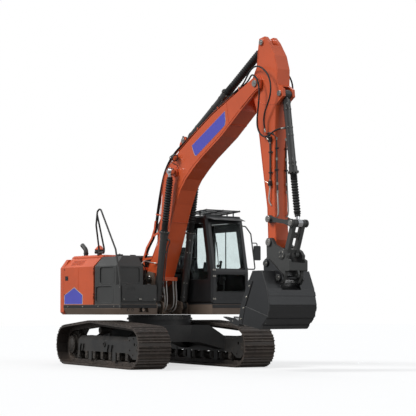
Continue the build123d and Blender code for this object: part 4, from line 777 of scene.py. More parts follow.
class EXCAVATOR_OT_hoses(bpy.types.Operator):
    """Free hoses over the boom's tip and foot, with their crimped ends"""

    bl_idname = "excavator.hoses"
    bl_label = "Free hoses"

    def execute(self, context):
        arm = ("boom", "arm", *TIP_BEND, 0.014, "rubber")
        # the foot hoses' and the lift hose's pale grey is a painted highlight on black hoses
        foot = ("house", "boom", *FOOT_BEND, 0.011, "pale")
        rows = [("arm_hose_outer", OUTER_HOSE, 1.994, arm), ("arm_hose_inner", INNER_HOSE, 2.113, arm),
                ("arm_hose_left", LEFT_HOSE, 1.994, arm),
                ("lift_hose", LIFT_HOSE, 0.493, ("house", "boom", *LIFT_BEND, 0.009, "pale"))]
        for i, (y_boom, y_deck, drop, length) in enumerate(FOOT_LOOPS, 1):
            rows.append((f"foot_hose_{i}", foot_route(y_boom, y_deck, drop), length, foot))
        crimps = {}
        for name, route, length, (first, second, start, end, radius, finish) in rows:
            line = spline_line(route)
            mesh = bmesh.new()
            place_tube(mesh, line, radius)
            piece = finish_piece(mesh, f"{name}_tube", None, finish, 60, stands_for=(name,))
            start, end = Vector(start), Vector(end)
            start.y = start.y or route[0][1]
            end.y = end.y or start.y
            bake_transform(piece)
            near, far = (first, second) if "foot" not in name else (second, first)
            far = "bucket_barrel" if name == "arm_hose_inner" else far
            for body, tip, inner in ((near, line[0], line[2]), (far, line[-1], line[-3])):
                crimps.setdefault(body, []).append((tip, (inner - tip).normalized(), radius))
        for body, places in crimps.items():
            mesh = bmesh.new()
            for tip, inward, radius in places:
                place_spin(mesh, [(along, radius * share) for along, share in CRIMP], tip, inward, 12)
            finish_piece(mesh, f"{body}_hose_crimps", body, "plated", 40)
        return {"FINISHED"}


# ---------------------------------------------------------------- tracks and rollers
CHAIN_WHEELS = (           # x, z, radius of the chain's middle line: sprocket, idler, carrier roller
    (-1.464, 0.368, 0.294), (1.582, 0.368, 0.294), (-0.200, 0.661, 0.097),
)
SHOE_COUNT = 49
SHOE_TOP = 0.052           # valley between two lugs, from the chain's middle line
ROLLER_Z = 0.180
BEARING_RING = 0.5895      # radius of the swing bearing's bolt circle


def chain_pins():
    """The chain's pins, evenly spaced round its three wheels, counterclockwise from below."""
    line = []
    for i in range(3):
        (x0, z0, r0), (x1, z1, r1), (x2, z2, r2) = (CHAIN_WHEELS[(i + k) % 3] for k in range(3))
        normal = math.atan2(z1 - z0, x1 - x0) - math.acos((r0 - r1) / math.hypot(x1 - x0, z1 - z0))
        following = math.atan2(z2 - z1, x2 - x1) - math.acos((r1 - r2) / math.hypot(x2 - x1, z2 - z1))
        turn = (following - normal) % math.tau
        line.append((x0 + r0 * math.cos(normal), z0 + r0 * math.sin(normal)))
        line += [(x1 + r1 * math.cos(normal + turn * k / 30), z1 + r1 * math.sin(normal + turn * k / 30))
                 for k in range(31)]
    line.append(line[0])
    steps = [math.dist(a, b) for a, b in zip(line, line[1:])]
    pins, k, passed = [], 0, 0.0
    for i in range(SHOE_COUNT):
        reach = sum(steps) * i / SHOE_COUNT
        while passed + steps[k] < reach:
            passed += steps[k]
            k += 1
        share = (reach - passed) / steps[k]
        pins.append(tuple(a + (b - a) * share for a, b in zip(line[k], line[k + 1])))
    return pins


class EXCAVATOR_OT_tracks(bpy.types.Operator):
    """Shoe bolts, link plates and pins of the chains, hub covers, roller caps and bearing bolts"""

    bl_idname = "excavator.tracks"
    bl_label = "Track fittings"

    def execute(self, context):
        bolt = context.scene.excavator_fittings.bolt
        pins = chain_pins()
        shoe_bolts, links, hubs, bolts = (bmesh.new() for _ in range(4))
        for y in (-TRACK_Y, TRACK_Y):
            for i, (p, q) in enumerate(zip(pins, pins[1:] + pins[:1])):
                self.link(shoe_bolts, links, i, Vector((p[0], y, p[1])), Vector((q[0], y, q[1])), bolt)
            side = math.copysign(1, y)
            for face in (-1, 1):
                self.hubs(hubs, bolts, y, face, face == side, bolt)
        for x, y in around(40, BEARING_RING):
            place_bolt(bolts, (x, y, 0.865), (0, 0, 1), 0.009)
        finish_piece(shoe_bolts, "shoe_bolts", "root", "tracks", 30, turn=TRACK_TURN)
        finish_piece(links, "chain_links", "root", "tracks", 30, 0.002, turn=TRACK_TURN)
        finish_piece(hubs, "hub_covers", "root", "rollers", 35, turn=TRACK_TURN)
        finish_piece(bolts, "undercarriage_bolts", "root", "rollers", 30, turn=TRACK_TURN)
        return {"FINISHED"}

    def link(self, shoe_bolts, links, i, start, end, bolt):
        """One shoe's bolts, its two link plates, its pin and bush."""
        along = (end - start).normalized()
        out = Vector((along.z, 0, -along.x))
        pitch = (end - start).length
        shape = ((-0.028, -0.020), (-0.028, 0.018), (0.03, 0.032), (pitch - 0.03, 0.032),
                 (pitch + 0.022, 0.018), (pitch + 0.022, -0.020), (pitch * 0.68, -0.031),
                 (pitch * 0.32, -0.031))
        for side in (-1, 1):
            for share in (0.29, 0.63):
                across = Vector((0, side * 0.067, 0))
                place = start + along * pitch * share + out * (SHOE_TOP - 0.003) + across
                place_bolt(shoe_bolts, place, out, bolt)
            across = Vector((0, side * (0.0885 + 0.0015 * (i % 2)), 0))
            place_slab(links, [start + across + along * a + out * b for a, b in shape], 0.007)
        for reach, radius in ((0.098, 0.014), (0.050, 0.024)):
            place_bar(links, start - Vector((0, reach, 0)), start + Vector((0, reach, 0)), radius, 12)

    def hubs(self, hubs, bolts, y, face, outside, bolt):
        """Covers and bolts on one face of the sprocket, the idler, the rollers and the frame."""
        sprocket, idler, carrier = (Vector((x, y, z)) for x, z, _ in CHAIN_WHEELS)
        across = Vector((0, face, 0))
        rings = ((0.035, 0.214, 18, bolt), (0.070, 0.174, 12, 0.010), (0.128, 0.137, 12, 0.011))
        for reach, ring, count, size in rings:
            for x, z in around(count, ring) if outside else ():
                place_bolt(bolts, sprocket + across * reach + Vector((x, 0, z)), across, size)
        if outside:
            place_spin(hubs, ((0, 0.118), (0.006, 0.118), (0.010, 0.112), (0.018, 0.06), (0.020, 0.022),
                              (0.028, 0.018), (0.028, 0)), sprocket + across * 0.128, across, 40)
            carrier.z -= 0.012
            place_spin(hubs, ((0, 0.046), (0.006, 0.044), (0.008, 0.030), (0.008, 0)),
                       carrier + across * 0.092, across, 24)
            place_bolt(bolts, carrier + across * 0.100, across, bolt)
        place_spin(hubs, ((0, 0.072), (0.010, 0.070), (0.012, 0.060), (0.012, 0.030), (0.006, 0.026),
                          (0.006, 0)), idler + across * 0.140, across, 32)
        for x, z in around(6, 0.092, 0.5):
            place_bolt(bolts, idler + across * 0.140 + Vector((x, 0, z)), across, bolt)
        for x, z in ((1.20, 0.32), (1.20, 0.49), (1.33, 0.24), (1.36, 0.52)):
            place_bolt(bolts, (x, y + face * 0.140, z), across, bolt)
        for i in range(7):
            x = -1.080 + 0.360 * i
            place_spin(hubs, ((0, 0.036), (0.006, 0.034), (0.006, 0.020), (0.010, 0.018), (0.010, 0)),
                       (x, y + face * 0.138, ROLLER_Z), across, 20)
            for dx in (-0.036, 0.036):
                place_bolt(bolts, (x + dx, y + face * 0.138, 0.243), across, 0.010)


# ---------------------------------------------------------------- cylinders
PORT_LOW, PORT_HIGH = 0.185, 0.135    # the oil ports, from the foot's pin and from the gland


class EXCAVATOR_OT_cylinders(bpy.types.Operator):
    """Gland flanges with their bolts, band clamps and side pipes of the cylinders"""

    bl_idname = "excavator.cylinders"
    bl_label = "Cylinder fittings"

    def execute(self, context):
        pipe = context.scene.excavator_fittings.pipe
        for cylinder in CYLINDERS:
            name, body, axis = cylinder.name, cylinder.body, cylinder.axis
            radius, length = cylinder.radius, cylinder.barrel
            front = axis.cross(Vector((0, 1, 0)))
            front = front if front.x > 0 else -front
            if name == "arm":
                front = -front if front.z > 0 else front
            mesh, bright, routes = bmesh.new(), bmesh.new(), []
            for y in cylinder.lines:
                start = Vector((cylinder.foot.x, y, cylinder.foot.z))
                inward = Vector((0, -math.copysign(1, y) if y else -1, 0))
                beside = (front * 0.8 + inward * 0.6).normalized()
                self.barrel(mesh, bright, start, axis, radius, length, cylinder.clamps, beside)
                routes += self.side_pipes(start, axis, radius, length, beside)
            finish_piece(mesh, f"{name}_cylinder_bands", body, "barrel", 35)
            finish_piece(bright, f"{name}_cylinder_bolts", body, "plated", 30)
            place_pipes(f"{name}_cylinder_pipes", routes, pipe * 0.8, body, "barrel")
        return {"FINISHED"}

    def barrel(self, mesh, bright, foot, axis, radius, length, clamps, beside):
        """Flange and bolts at the gland, a band at each clamp, a port boss at each end."""
        place_spin(mesh, ((0, radius), (0, radius + 0.028), (0.003, radius + 0.031), (0.024, radius + 0.031),
                          (0.027, radius + 0.028), (0.027, radius * 0.8)),
                   foot + axis * (length - 0.028), axis, 40)
        across = axis.cross(beside)
        for a, b in around(10, radius + 0.018):
            place_bolt(bright, foot + axis * (length - 0.001) + beside * a + across * b, axis, 0.009)
        low, high = radius - 0.002, radius + 0.004
        for d in clamps:
            place_spin(mesh, ((0, low), (0, high), (0.026, high), (0.026, low)), foot + axis * d, axis, 36)
            seat = foot + axis * (d + 0.013) + beside * radius
            place_box(mesh, seat - Vector((0.018,) * 3), seat + Vector((0.018,) * 3),
                      facing((0, 0, 0), beside).to_3x3())
            for reach in (0.026, -0.026):
                place_bolt(bright, seat + beside * 0.017 + across * reach, beside, 0.007)
        for d in (PORT_LOW, length - PORT_HIGH):
            port = foot + axis * d + beside * radius
            place_bar(mesh, port - beside * 0.01, port + beside * 0.026, 0.024, 16)
            place_bar(bright, port + beside * 0.022, port + beside * 0.036, 0.017, 6)

    def side_pipes(self, foot, axis, radius, length, beside):
        """A pipe from one port up along the barrel to the other."""
        low, high = foot + axis * PORT_LOW, foot + axis * (length - PORT_HIGH)
        out = beside * (radius + 0.030)
        far = beside * (radius + 0.020)
        return [(high + out, high + beside * (radius + 0.052), high + beside * (radius + 0.050) - axis * 0.06,
                 high + far - axis * 0.13, low + far + axis * 0.16, low + far + axis * 0.10,
                 low + beside * (radius + 0.050) + axis * 0.05, low + beside * (radius + 0.052), low + out)]


# ---------------------------------------------------------------- boom and arm
BOOM_BEADS = (             # x, z of weld beads on each of the boom's side plates
    ((0.16, 1.62), (0.43, 2.25), (0.56, 2.60), (0.68, 2.90), (0.81, 3.16), (0.99, 3.36), (1.21, 3.55),
     (1.45, 3.71), (2.01, 4.04), (2.50, 4.40)),
    ((-0.13, 1.73), (0.185, 2.245), (0.262, 2.66), (0.322, 3.21), (0.385, 3.455), (0.552, 3.658),
     (0.79, 3.85), (1.28, 4.148), (1.79, 4.438), (2.39, 4.706)),
)
BOOM_SEAMS = (((0.345, 2.655), (0.500, 2.640), (0.625, 2.610)), ((2.17, 4.575), (2.24, 4.20)))
CHEEK = ((2.400, 4.650), (2.545, 4.425), (2.920, 4.680), (3.040, 4.735), (3.050, 4.850), (2.950, 4.930),
         (2.830, 4.875))
BOOM_DECAL = ((1.211, 3.926), (1.245, 3.843), (1.300, 3.745), (1.345, 3.738), (2.095, 4.168), (2.128, 4.196),
              (2.143, 4.266), (2.128, 4.426), (2.095, 4.415))
LAMP_LEAD = (
    (0.73, 0.265, 3.77), (0.66, 0.262, 3.79), (0.62, 0.235, 3.72), (0.66, 0.205, 3.655),
    (0.735, 0.196, 3.635), (0.80, 0.192, 3.60), (0.815, 0.187, 3.545),
)
LABEL_OUT = 0.0012         # how far a decal's middle layer lies from its wall
SIDE_DECAL = ((-1.365, 1.125), (-1.365, 1.285), (-1.040, 1.418), (-0.775, 1.285), (-0.775, 1.125))


def grown(points, by):
    """An outline of (x, z) points, enlarged from its middle by a length."""
    middle = [sum(axis) / len(points) for axis in zip(*points)]
    result = []
    for point in points:
        reach = math.dist(point, middle)
        result.append(tuple(m + (c - m) * (reach + by) / reach for c, m in zip(point, middle)))
    return result


def place_label(mesh, points, y, outward):
    """A thin plate of (x, z) points on a wall at y, its face a little outside."""
    place_slab(mesh, on_wall(points, y + outward * LABEL_OUT), 0.0016)


def ring_of(x, z, y, radius, steps=28):
    """A closed round route in the plane across Y."""
    return closed(on_wall([(x + a, z + b) for a, b in around(steps, radius)], y))


def place_pin_caps(mesh, bolts, pins, bolt):
    """A keeper plate with its bolt and grease nipple on both ends of each pin: (pin, half length, radius)."""
    for pin, reach, radius in pins:
        for side in (-1, 1):
            end, out = Vector((pin[0], side * reach, pin[2])), Vector((0, side, 0))
            place_spin(mesh, ((-0.002, radius), (0.008, radius), (0.011, radius - 0.004), (0.011, 0)),
                       end, out, 28)
            place_bolt(bolts, end + out * 0.010 + Vector((radius * 0.45, 0, 0)), out, bolt * 0.8)
            place_bar(bolts, end + out * 0.010, end + out * 0.024, 0.006, 10, 0.003)


class EXCAVATOR_OT_boom(bpy.types.Operator):
    """Weld beads, decals, lamps with their leads and pin caps of the boom"""

    bl_idname = "excavator.boom"
    bl_label = "Boom trim"

    def execute(self, context):
        fittings = context.scene.excavator_fittings
        self.welds(fittings.weld)
        self.decals()
        self.lamps(fittings.bolt)
        caps, bolts = bmesh.new(), bmesh.new()
        place_pin_caps(caps, bolts, ((TIP_PIN, 0.208, 0.058), (ARM_FOOT, 0.125, 0.048)), fittings.bolt)
        for side in (-1, 1):
            place_box(caps, (0.845, side * 0.118 - 0.004, 4.085), (0.895, side * 0.118 + 0.004, 4.135))
        finish_piece(caps, "boom_pin_caps", "boom", "pin", 35)
        finish_piece(bolts, "boom_pin_bolts", "boom", "plated", 30)
        return {"FINISHED"}

    def welds(self, bead):
        """Beads along the side plates' edges, round the bosses and across the underside."""
        routes = []
        for side in (-1, 1):
            y = side * (BOOM_SIDE + 0.001)
            routes += [on_wall(line, y) for line in BOOM_BEADS]
            routes.append(closed(on_wall(grown(CHEEK, 0.006), y)))
            routes.append(ring_of(0, 1.580, y, 0.121))
            routes.append(ring_of(0.732, 3.494, y, 0.088))
            routes += [on_wall(line, y) for line in BOOM_SEAMS]
        for x, z in ((0.622, 2.592), (2.275, 4.183)):
            routes.append([(x, -BOOM_SIDE, z), (x, BOOM_SIDE, z)])
        place_pipes("boom_weld_beads", routes, bead, "boom", "orange", order=2)

    def decals(self):
        """A blank film on a pale border on each side."""
        border, film = bmesh.new(), bmesh.new()
        for side in (-1, 1):
            place_label(border, grown(BOOM_DECAL, 0.010), side * BOOM_SIDE, side)
            place_label(film, BOOM_DECAL, side * (BOOM_SIDE + LABEL_OUT), side)
        finish_piece(border, "boom_decal_border", "boom", "pale")
        finish_piece(film, "boom_decal_film", "boom", "decal")

    def lamps(self, bolt):
        """Lens, bezel ring, reflector and lead of each work lamp."""
        aim = Vector((0.93, 0, -0.37)).normalized()
        rims, lenses, mirrors, leads = bmesh.new(), bmesh.new(), bmesh.new(), []
        for side in (-1, 1):
            face = Vector((0.745, side * 0.265, 3.763)) + aim * 0.082
            place_spin(rims, ((-0.02, 0.0605), (-0.02, 0.065), (0.006, 0.065), (0.006, 0.052), (0.001, 0.050),
                              (-0.002, 0.0605)), face, aim, 40)
            place_spin(mirrors, ((0.0005, 0.050), (0.0015, 0.030), (0.0015, 0)), face, aim, 32)
            place_spin(lenses, ((0.002, 0.0515), (0.006, 0.048), (0.010, 0.03), (0.012, 0)), face, aim, 32)
            for up in (-0.014, 0.034):
                place_bolt(rims, (0.729, side * 0.215, 3.745 + up), (-1, 0, 0), bolt * 0.7)
            leads.append([(x, side * y, z) for x, y, z in LAMP_LEAD])
        finish_piece(rims, "boom_lamp_rims", "boom", "plastic", 35)
        finish_piece(mirrors, "boom_lamp_mirrors", "boom", "chrome", 60)
        finish_piece(lenses, "boom_lamp_lenses", "boom", "lens", 60)
        place_pipes("boom_lamp_leads", leads, 0.006, "boom", "rubber")


ARM_BEADS = (              # x, z on each of the arm's side plates
    ((2.975, 5.40), (2.935, 5.10), (2.815, 4.895), (2.805, 4.725), (2.914, 4.403), (3.054, 3.50),
     (3.184, 2.70), (3.205, 2.13)),
    ((3.366, 5.232), (3.435, 4.995), (3.426, 4.735)),
    ((3.386, 4.39), (3.341, 3.30), (3.356, 2.60), (3.376, 2.17)),
    ((2.90, 4.55), (3.10, 4.44), (3.40, 4.42)),
)
NEAR_PIPES = (             # pipe A on the near side, pipe B at the front corner
    ((3.190, -0.170, 3.900), (3.215, -0.160, 3.875), (3.262, -0.157, 3.86), (3.275, -0.157, 3.82),
     (3.275, -0.157, 3.77), (3.275, -0.157, 3.30), (3.270, -0.157, 3.16), (3.270, -0.157, 3.04)),
    ((3.190, -0.150, 3.935), (3.250, -0.152, 3.950), (3.330, -0.150, 3.93), (3.372, -0.125, 3.88),
     (3.376, -0.105, 3.82), (3.382, -0.105, 3.50), (3.390, -0.105, 3.07), (3.398, -0.108, 2.95)),
)
PIPE_TAILS = (             # hoses that go on from the pipes' lower ends
    ((3.270, -0.157, 3.06), (3.268, -0.162, 2.99), (3.256, -0.168, 2.90), (3.249, -0.165, 2.82),
     (3.262, -0.150, 2.755), (3.288, -0.141, 2.73)),
    ((3.398, -0.108, 2.97), (3.408, -0.112, 2.84), (3.416, -0.112, 2.72), (3.420, -0.110, 2.62),
     (3.402, -0.105, 2.555), (3.370, -0.100, 2.545)),
)


class EXCAVATOR_OT_arm(bpy.types.Operator):
    """Weld beads, oil pipes with valves and clamps, and pin caps of the arm and its rockers"""

    bl_idname = "excavator.arm"
    bl_label = "Arm trim"

    def execute(self, context):
        fittings = context.scene.excavator_fittings
        routes = []
        for side in (-1, 1):
            y = side * (ARM_SIDE + 0.001)
            routes += [on_wall(line, y) for line in ARM_BEADS]
            for pin, radius in ((TIP_PIN, 0.082), (ROCKER_PIN, 0.060), (COUPLER_PIN, 0.060), (ARM_EYE, 0.060),
                                (BUCKET_EYE, 0.056)):
                routes.append(ring_of(pin.x, pin.z, y, radius))
        place_pipes("arm_weld_beads", routes, fittings.weld, "arm", "orange", order=2)
        # the pipe tails' pale grey is a painted highlight on black hoses
        for name, lines, radius, finish in (("arm_pipes", NEAR_PIPES, fittings.pipe, "barrel"),
                                            ("arm_pipe_tails", PIPE_TAILS, fittings.pipe * 0.9, "pale")):
            place_pipes(name, [*lines, *(mirrored(line) for line in lines)], radius, "arm", finish)
        self.valves(fittings.bolt)
        self.bosses()
        caps, bolts = bmesh.new(), bmesh.new()
        ends = ((ROCKER_PIN, 0.215, 0.055), (COUPLER_PIN, 0.225, 0.060), (ARM_EYE, 0.150, 0.048),
                (BUCKET_EYE, 0.150, 0.048))
        place_pin_caps(caps, bolts, ends, fittings.bolt)
        finish_piece(caps, "arm_pin_caps", "arm", "pin", 35)
        finish_piece(bolts, "arm_pin_bolts", "arm", "plated", 30)
        caps, bolts = bmesh.new(), bmesh.new()
        place_pin_caps(caps, bolts, ((CROSS_PIN, 0.175, 0.050),), fittings.bolt)
        finish_piece(caps, "rocker_pin_caps", "rocker", "pin", 35)
        finish_piece(bolts, "rocker_pin_bolts", "rocker", "plated", 30)
        return {"FINISHED"}

    def valves(self, bolt):
        """Shut-off valves with levers, pipe nuts and the clamps that hold the pipes."""
        dark, bright = bmesh.new(), bmesh.new()
        for side in (-1, 1):
            for x, z in ((3.275, 3.83), (3.270, 3.10)):
                low = Vector((x - 0.028, side * 0.157 - 0.026, z - 0.040))
                place_box(dark, low, low + Vector((0.056, 0.052, 0.080)))
                place_bar(dark, (x, side * 0.181, z), (x, side * 0.200, z), 0.010, 12)
                place_bar(bright, (x, side * 0.196, z), (x - 0.075, side * 0.204, z + 0.045), 0.006, 8, 0.005)
                for dz in (-0.052, 0.052):
                    place_bar(bright, (x, side * 0.157, z + dz - 0.014), (x, side * 0.157, z + dz + 0.014),
                              0.021, 6)
            for x, z in ((3.376, 3.84), (3.382, 3.50), (3.389, 3.09), (3.398, 2.955)):
                place_bar(bright, (x, side * 0.105, z - 0.022), (x, side * 0.105, z + 0.022), 0.020, 6)
            for z in (3.62, 3.28):
                place_box(dark, (3.250, side * 0.154 - 0.022, z - 0.013),
                          (3.300, side * 0.154 + 0.022, z + 0.013))
                for x in (3.236, 3.312):
                    place_box(dark, (x - 0.013, side * 0.138 - 0.005, z - 0.012),
                              (x + 0.013, side * 0.138 + 0.005, z + 0.012))
                    place_bolt(bright, (x, side * 0.142, z), (0, side, 0), bolt * 0.7)
            for z, x in ((3.68, 3.366), (3.32, 3.362)):
                place_box(dark, (x - 0.012, side * 0.105 - 0.026, z - 0.013),
                          (x + 0.038, side * 0.105 + 0.026, z + 0.013))
        finish_piece(dark, "arm_valves", "arm", "plastic", 30, 0.003)
        finish_piece(bright, "arm_valve_nuts", "arm", "plated", 30)

    def bosses(self):
        """Machined collars round the arm's pins, outside its side plates."""
        mesh = bmesh.new()
        for side in (-1, 1):
            for pin, radius, reach in ((ROCKER_PIN, 0.058, 0.006), (BUCKET_EYE, 0.054, 0.010),
                                       (ARM_EYE, 0.058, 0.010)):
                place_spin(mesh, ((-0.002, radius), (reach, radius), (reach + 0.002, radius - 0.004),
                                  (reach + 0.002, 0.037), (-0.002, 0.037)),
                           (pin.x, side * ARM_SIDE, pin.z), (0, side, 0), 36)
        finish_piece(mesh, "arm_pin_collars", "arm", "orange", 35)


# ---------------------------------------------------------------- valve block at the boom's foot
# pin, half length, radius: the boom's foot, then the feet of its cylinders
HOUSE_PINS = (((0, 0, 1.580), 0.250, 0.060), ((0.316, 0, 1.085), 0.368, 0.046))


class EXCAVATOR_OT_valves(bpy.types.Operator):
    """Valve block with its spools and unions between the tank and the boom's foot"""

    bl_idname = "excavator.valves"
    bl_label = "Valve block"

    def execute(self, context):
        block, nuts, routes = bmesh.new(), bmesh.new(), []
        place_box(block, (-0.372, -0.470, 1.500), (-0.090, -0.330, 1.640))
        place_box(block, (-0.372, -0.455, 1.640), (-0.120, -0.345, 1.700))
        for i in range(6):
            x = -0.345 + 0.046 * i
            place_bar(block, (x, -0.470, 1.535), (x, -0.505, 1.535), 0.019, 16)
            place_bar(block, (x, -0.330, 1.535), (x, -0.290, 1.535), 0.019, 16)
            place_bolt(nuts, (x, -0.505, 1.535), (0, -1, 0), 0.012)
            place_bolt(nuts, (x, -0.400, 1.700), (0, 0, 1), 0.014, 0.018)
            if i % 2:
                continue
            top = Vector((x, -0.372, 1.715))
            place_bar(nuts, top - Vector((0, 0, 0.02)), top + Vector((0, 0, 0.03)), 0.018, 6)
            routes.append((tuple(top), (x, -0.372, 1.80), (x + 0.03, -0.350, 1.86), (x + 0.07, -0.300, 1.85),
                           (x + 0.075, -0.262, 1.76), (x + 0.07, -0.255, 1.62), (x + 0.05, -0.262, 1.45),
                           (x + 0.05, -0.27, 1.20)))
        finish_piece(block, "foot_valve_block", "house", "grey", 30, 0.004)
        finish_piece(nuts, "foot_valve_nuts", "house", "plated", 30)
        place_pipes("foot_valve_pipes", routes, 0.011, "house", "barrel")
        caps, bolts = bmesh.new(), bmesh.new()
        place_pin_caps(caps, bolts, HOUSE_PINS, 0.013)
        finish_piece(caps, "house_pin_caps", "house", "pin", 35)
        finish_piece(bolts, "house_pin_bolts", "house", "plated", 30)
        return {"FINISHED"}


# ---------------------------------------------------------------- cab
CAB_RIGHT, CAB_LEFT = 0.385, 1.268
SEAT_Y = 0.8265
RIGHT_WINDOW = ((-0.480, 1.560), (0.950, 1.560), (0.950, 1.705), (0.789, 2.590), (-0.480, 2.590))
QUARTER_WINDOW = ((-0.490, 1.800), (-0.160, 1.800), (-0.160, 2.590), (-0.490, 2.590))
DOOR_WINDOW = ((0.020, 1.760), (0.865, 1.760), (0.714, 2.590), (0.020, 2.590))
GRIP = ((-0.045, 0.014), (-0.035, 0.021), (0.0, 0.025), (0.045, 0.023), (0.070, 0.030), (0.090, 0.026),
        (0.098, 0.012), (0.098, 0))
BOOT = ((0, 0.055), (0.012, 0.050), (0.018, 0.056), (0.032, 0.042), (0.040, 0.046), (0.056, 0.030),
        (0.075, 0.015))
KNOB = ((-0.02, 0.015), (0, 0.024), (0.03, 0.026), (0.05, 0.014), (0.052, 0))


def screen_x(z, out=0.0):
    """The windscreen's outer line in side view."""
    return 1.060 - 0.175 * (z - 1.705) / 0.960 + out


def corners(low_a, low_b, high_a, high_b):
    """The corners of a rectangle, in order round it."""
    return (low_a, low_b), (high_a, low_b), (high_a, high_b), (low_a, high_b)


class EXCAVATOR_OT_cab(bpy.types.Operator):
    """Window seals, wiper, visor, hinges, controls and mirror of the cab"""

    bl_idname = "excavator.cab"
    bl_label = "Cab trim"

    def execute(self, context):
        bolt = context.scene.excavator_fittings.bolt
        front = [(screen_x(z, -0.010), y, z) for y, z in corners(0.482, 1.752, 1.171, 2.598)]
        low = [(1.052, y, z) for y, z in corners(0.482, 1.337, 1.171, 1.658)]
        rear = [(-0.612, y, z) for y, z in corners(0.497, 1.902, 1.156, 2.558)]
        hatch = [(x, y, 2.728) for x, y in corners(0.102, 0.547, 0.648, 1.106)]
        sides = [on_wall(RIGHT_WINDOW, CAB_RIGHT + 0.006), on_wall(QUARTER_WINDOW, CAB_LEFT - 0.006)]
        for name, body, routes in (("cab_window_seals", "house", (front, low, rear, hatch, *sides)),
                                   ("door_window_seal", "cab_door",
                                    (on_wall(DOOR_WINDOW, CAB_LEFT - 0.006),))):
            place_pipes(name, [closed(route) for route in routes], 0.011, body, "rubber", order=2)
        self.outside(bolt)
        self.inside()
        self.door(bolt)
        return {"FINISHED"}

    def outside(self, bolt):
        """Wiper, visor, post hinges, window bar, mirror glass and roof guard bolts."""
        dark, bright, glass = bmesh.new(), bmesh.new(), bmesh.new()
        place_spin(dark, ((0, 0.030), (0.020, 0.026), (0.030, 0.014), (0.030, 0)),
                   (screen_x(1.80, -0.004), 0.535, 1.80), (0.984, 0, 0.179), 20)
        for y, z0, out0, z1, out1, radius, sides, end in (          # wiper's arm, its holder and the blade
                (0.535, 1.80, 0.020, 2.24, 0.022, 0.007, 8, 0.005),
                (0.560, 1.95, 0.004, 2.52, 0.004, 0.006, 8, None),
                (0.560, 1.96, -0.006, 2.51, -0.006, 0.003, 6, None)):
            place_bar(dark, (screen_x(z0, out0), y, z0), (screen_x(z1, out1), 0.560, z1), radius, sides, end)
        place_slab(dark, ((0.880, 0.430, 2.690), (0.880, 1.223, 2.690),
                          (1.035, 1.200, 2.640), (1.035, 0.453, 2.640)), 0.006)
        for y in (0.47, 0.83, 1.18):
            place_bar(dark, (0.870, y, 2.672), (1.000, y, 2.645), 0.008, 8)
        for z in (1.210, 1.620, 1.735):
            x = min(screen_x(z), 1.060)
            place_box(dark, (x - 0.020, 0.398, z - 0.028), (x + 0.008, 0.468, z + 0.028))
            for y in (0.415, 0.452):
                place_bolt(bright, (x + 0.008, y, z), (1, 0, 0), bolt)
        for z in (1.62, 2.53):
            place_box(dark, (0.310, CAB_RIGHT - 0.004, z - 0.020), (0.340, CAB_RIGHT + 0.014, z + 0.020))
        place_box(dark, (0.316, CAB_RIGHT + 0.004, 1.562), (0.334, CAB_RIGHT + 0.018, 2.588))
        place_box(glass, (0.9115, 1.503, 1.942), (0.9145, 1.633, 2.188))
        for x in (0.300, 0.480, 0.660, 0.840):
            for y in (0.433, 0.8265, 1.220):
                place_bolt(bright, (x, y, 2.804 + (x - 0.300) * 0.07), (-0.07, 0, 1), 0.009)
        for x, z in ((1.000, 1.760), (0.848, 2.560)):
            place_bar(bright, (x, CAB_LEFT - 0.002, z), (x, CAB_LEFT + 0.010, z), 0.024, 16)
        finish_piece(dark, "cab_outside_trim", "house", "plastic", 30, 0.002)
        finish_piece(bright, "cab_bolts", "house", "plated", 30)
        finish_piece(glass, "mirror_glass", "house", "chrome", 30, 0.001)

    def inside(self):
        """Grips and boots of the levers, travel levers' knobs, pedal pads, monitor and floor mat."""
        dark, lit = bmesh.new(), bmesh.new()
        for side in (-1, 1):
            y = SEAT_Y + side * 0.3235
            place_spin(dark, GRIP, (0.362, y, 1.835), (0.18, 0, 1), 20)
            place_spin(dark, BOOT, (0.340, y, 1.678), (0.15, 0, 1), 20)
            place_box(dark, (-0.170, y - 0.055, 1.735), (0.220, y + 0.055, 1.785))
            pedal = SEAT_Y + side * 0.09
            place_spin(dark, KNOB, (0.757, pedal, 1.555), (0.1, 0, 1), 16)
            for k in range(5):
                place_box(dark, (0.705 + 0.03 * k, pedal - 0.045, 1.193),
                          (0.719 + 0.03 * k, pedal + 0.045, 1.200))
        tilt = Matrix.Rotation(0.25, 3, "Y")
        place_box(dark, (0.700, 0.470, 1.720), (0.740, 0.670, 1.880), tilt)
        place_box(lit, (0.697, 0.485, 1.735), (0.703, 0.655, 1.865), tilt)
        place_bar(dark, (0.735, 0.560, 1.730), (0.790, 0.520, 1.560), 0.014, 12)
        place_box(dark, (0.330, 0.450, 1.172), (1.010, 1.200, 1.181))
        for k in range(12):
            place_box(dark, (0.350 + 0.054 * k, 0.470, 1.180), (0.372 + 0.054 * k, 1.180, 1.185))
        finish_piece(dark, "cab_controls_trim", "house", "plastic", 35, 0.004)
        finish_piece(lit, "monitor_screen", "house", "chrome", 35)

    def door(self, bolt):
        """Lock, window frame with a dark top band, and rubbing strip on the cab's door; the band stands
        partly for the roof lining and partly for painted shade under the roof.
        """
        mesh = bmesh.new()
        place_box(mesh, (0.795, 1.285, 1.640), (0.885, 1.300, 1.665))
        place_spin(mesh, ((0, 0.016), (0.006, 0.016), (0.008, 0.010), (0.008, 0)), (0.760, CAB_LEFT, 1.675),
                   (0, 1, 0), 20)
        place_box(mesh, (0.000, 1.262, 1.205), (0.960, 1.274, 1.265))
        # dark band across the window's top: the roof lining seen through the glass, and partly painted shade
        # under the roof
        place_slab(mesh, on_wall(((0.020, 2.460), (0.736, 2.460), (0.714, 2.590), (0.020, 2.590)), 1.239),
                   0.004)
        for x0, x1 in ((0.020, 0.110), (0.400, 0.428)):
            place_box(mesh, (x0, 1.236, 1.760), (x1, 1.241, 2.465))
        for x in (0.06, 0.34, 0.62, 0.90):
            place_bolt(mesh, (x, 1.274, 1.235), (0, 1, 0), bolt * 0.7)
        finish_piece(mesh, "door_fittings_and_shade_band", "cab_door", "plastic", 30, 0.002)


PAD_SWELL = 0.014          # the most that a pad's skin moves when it swells


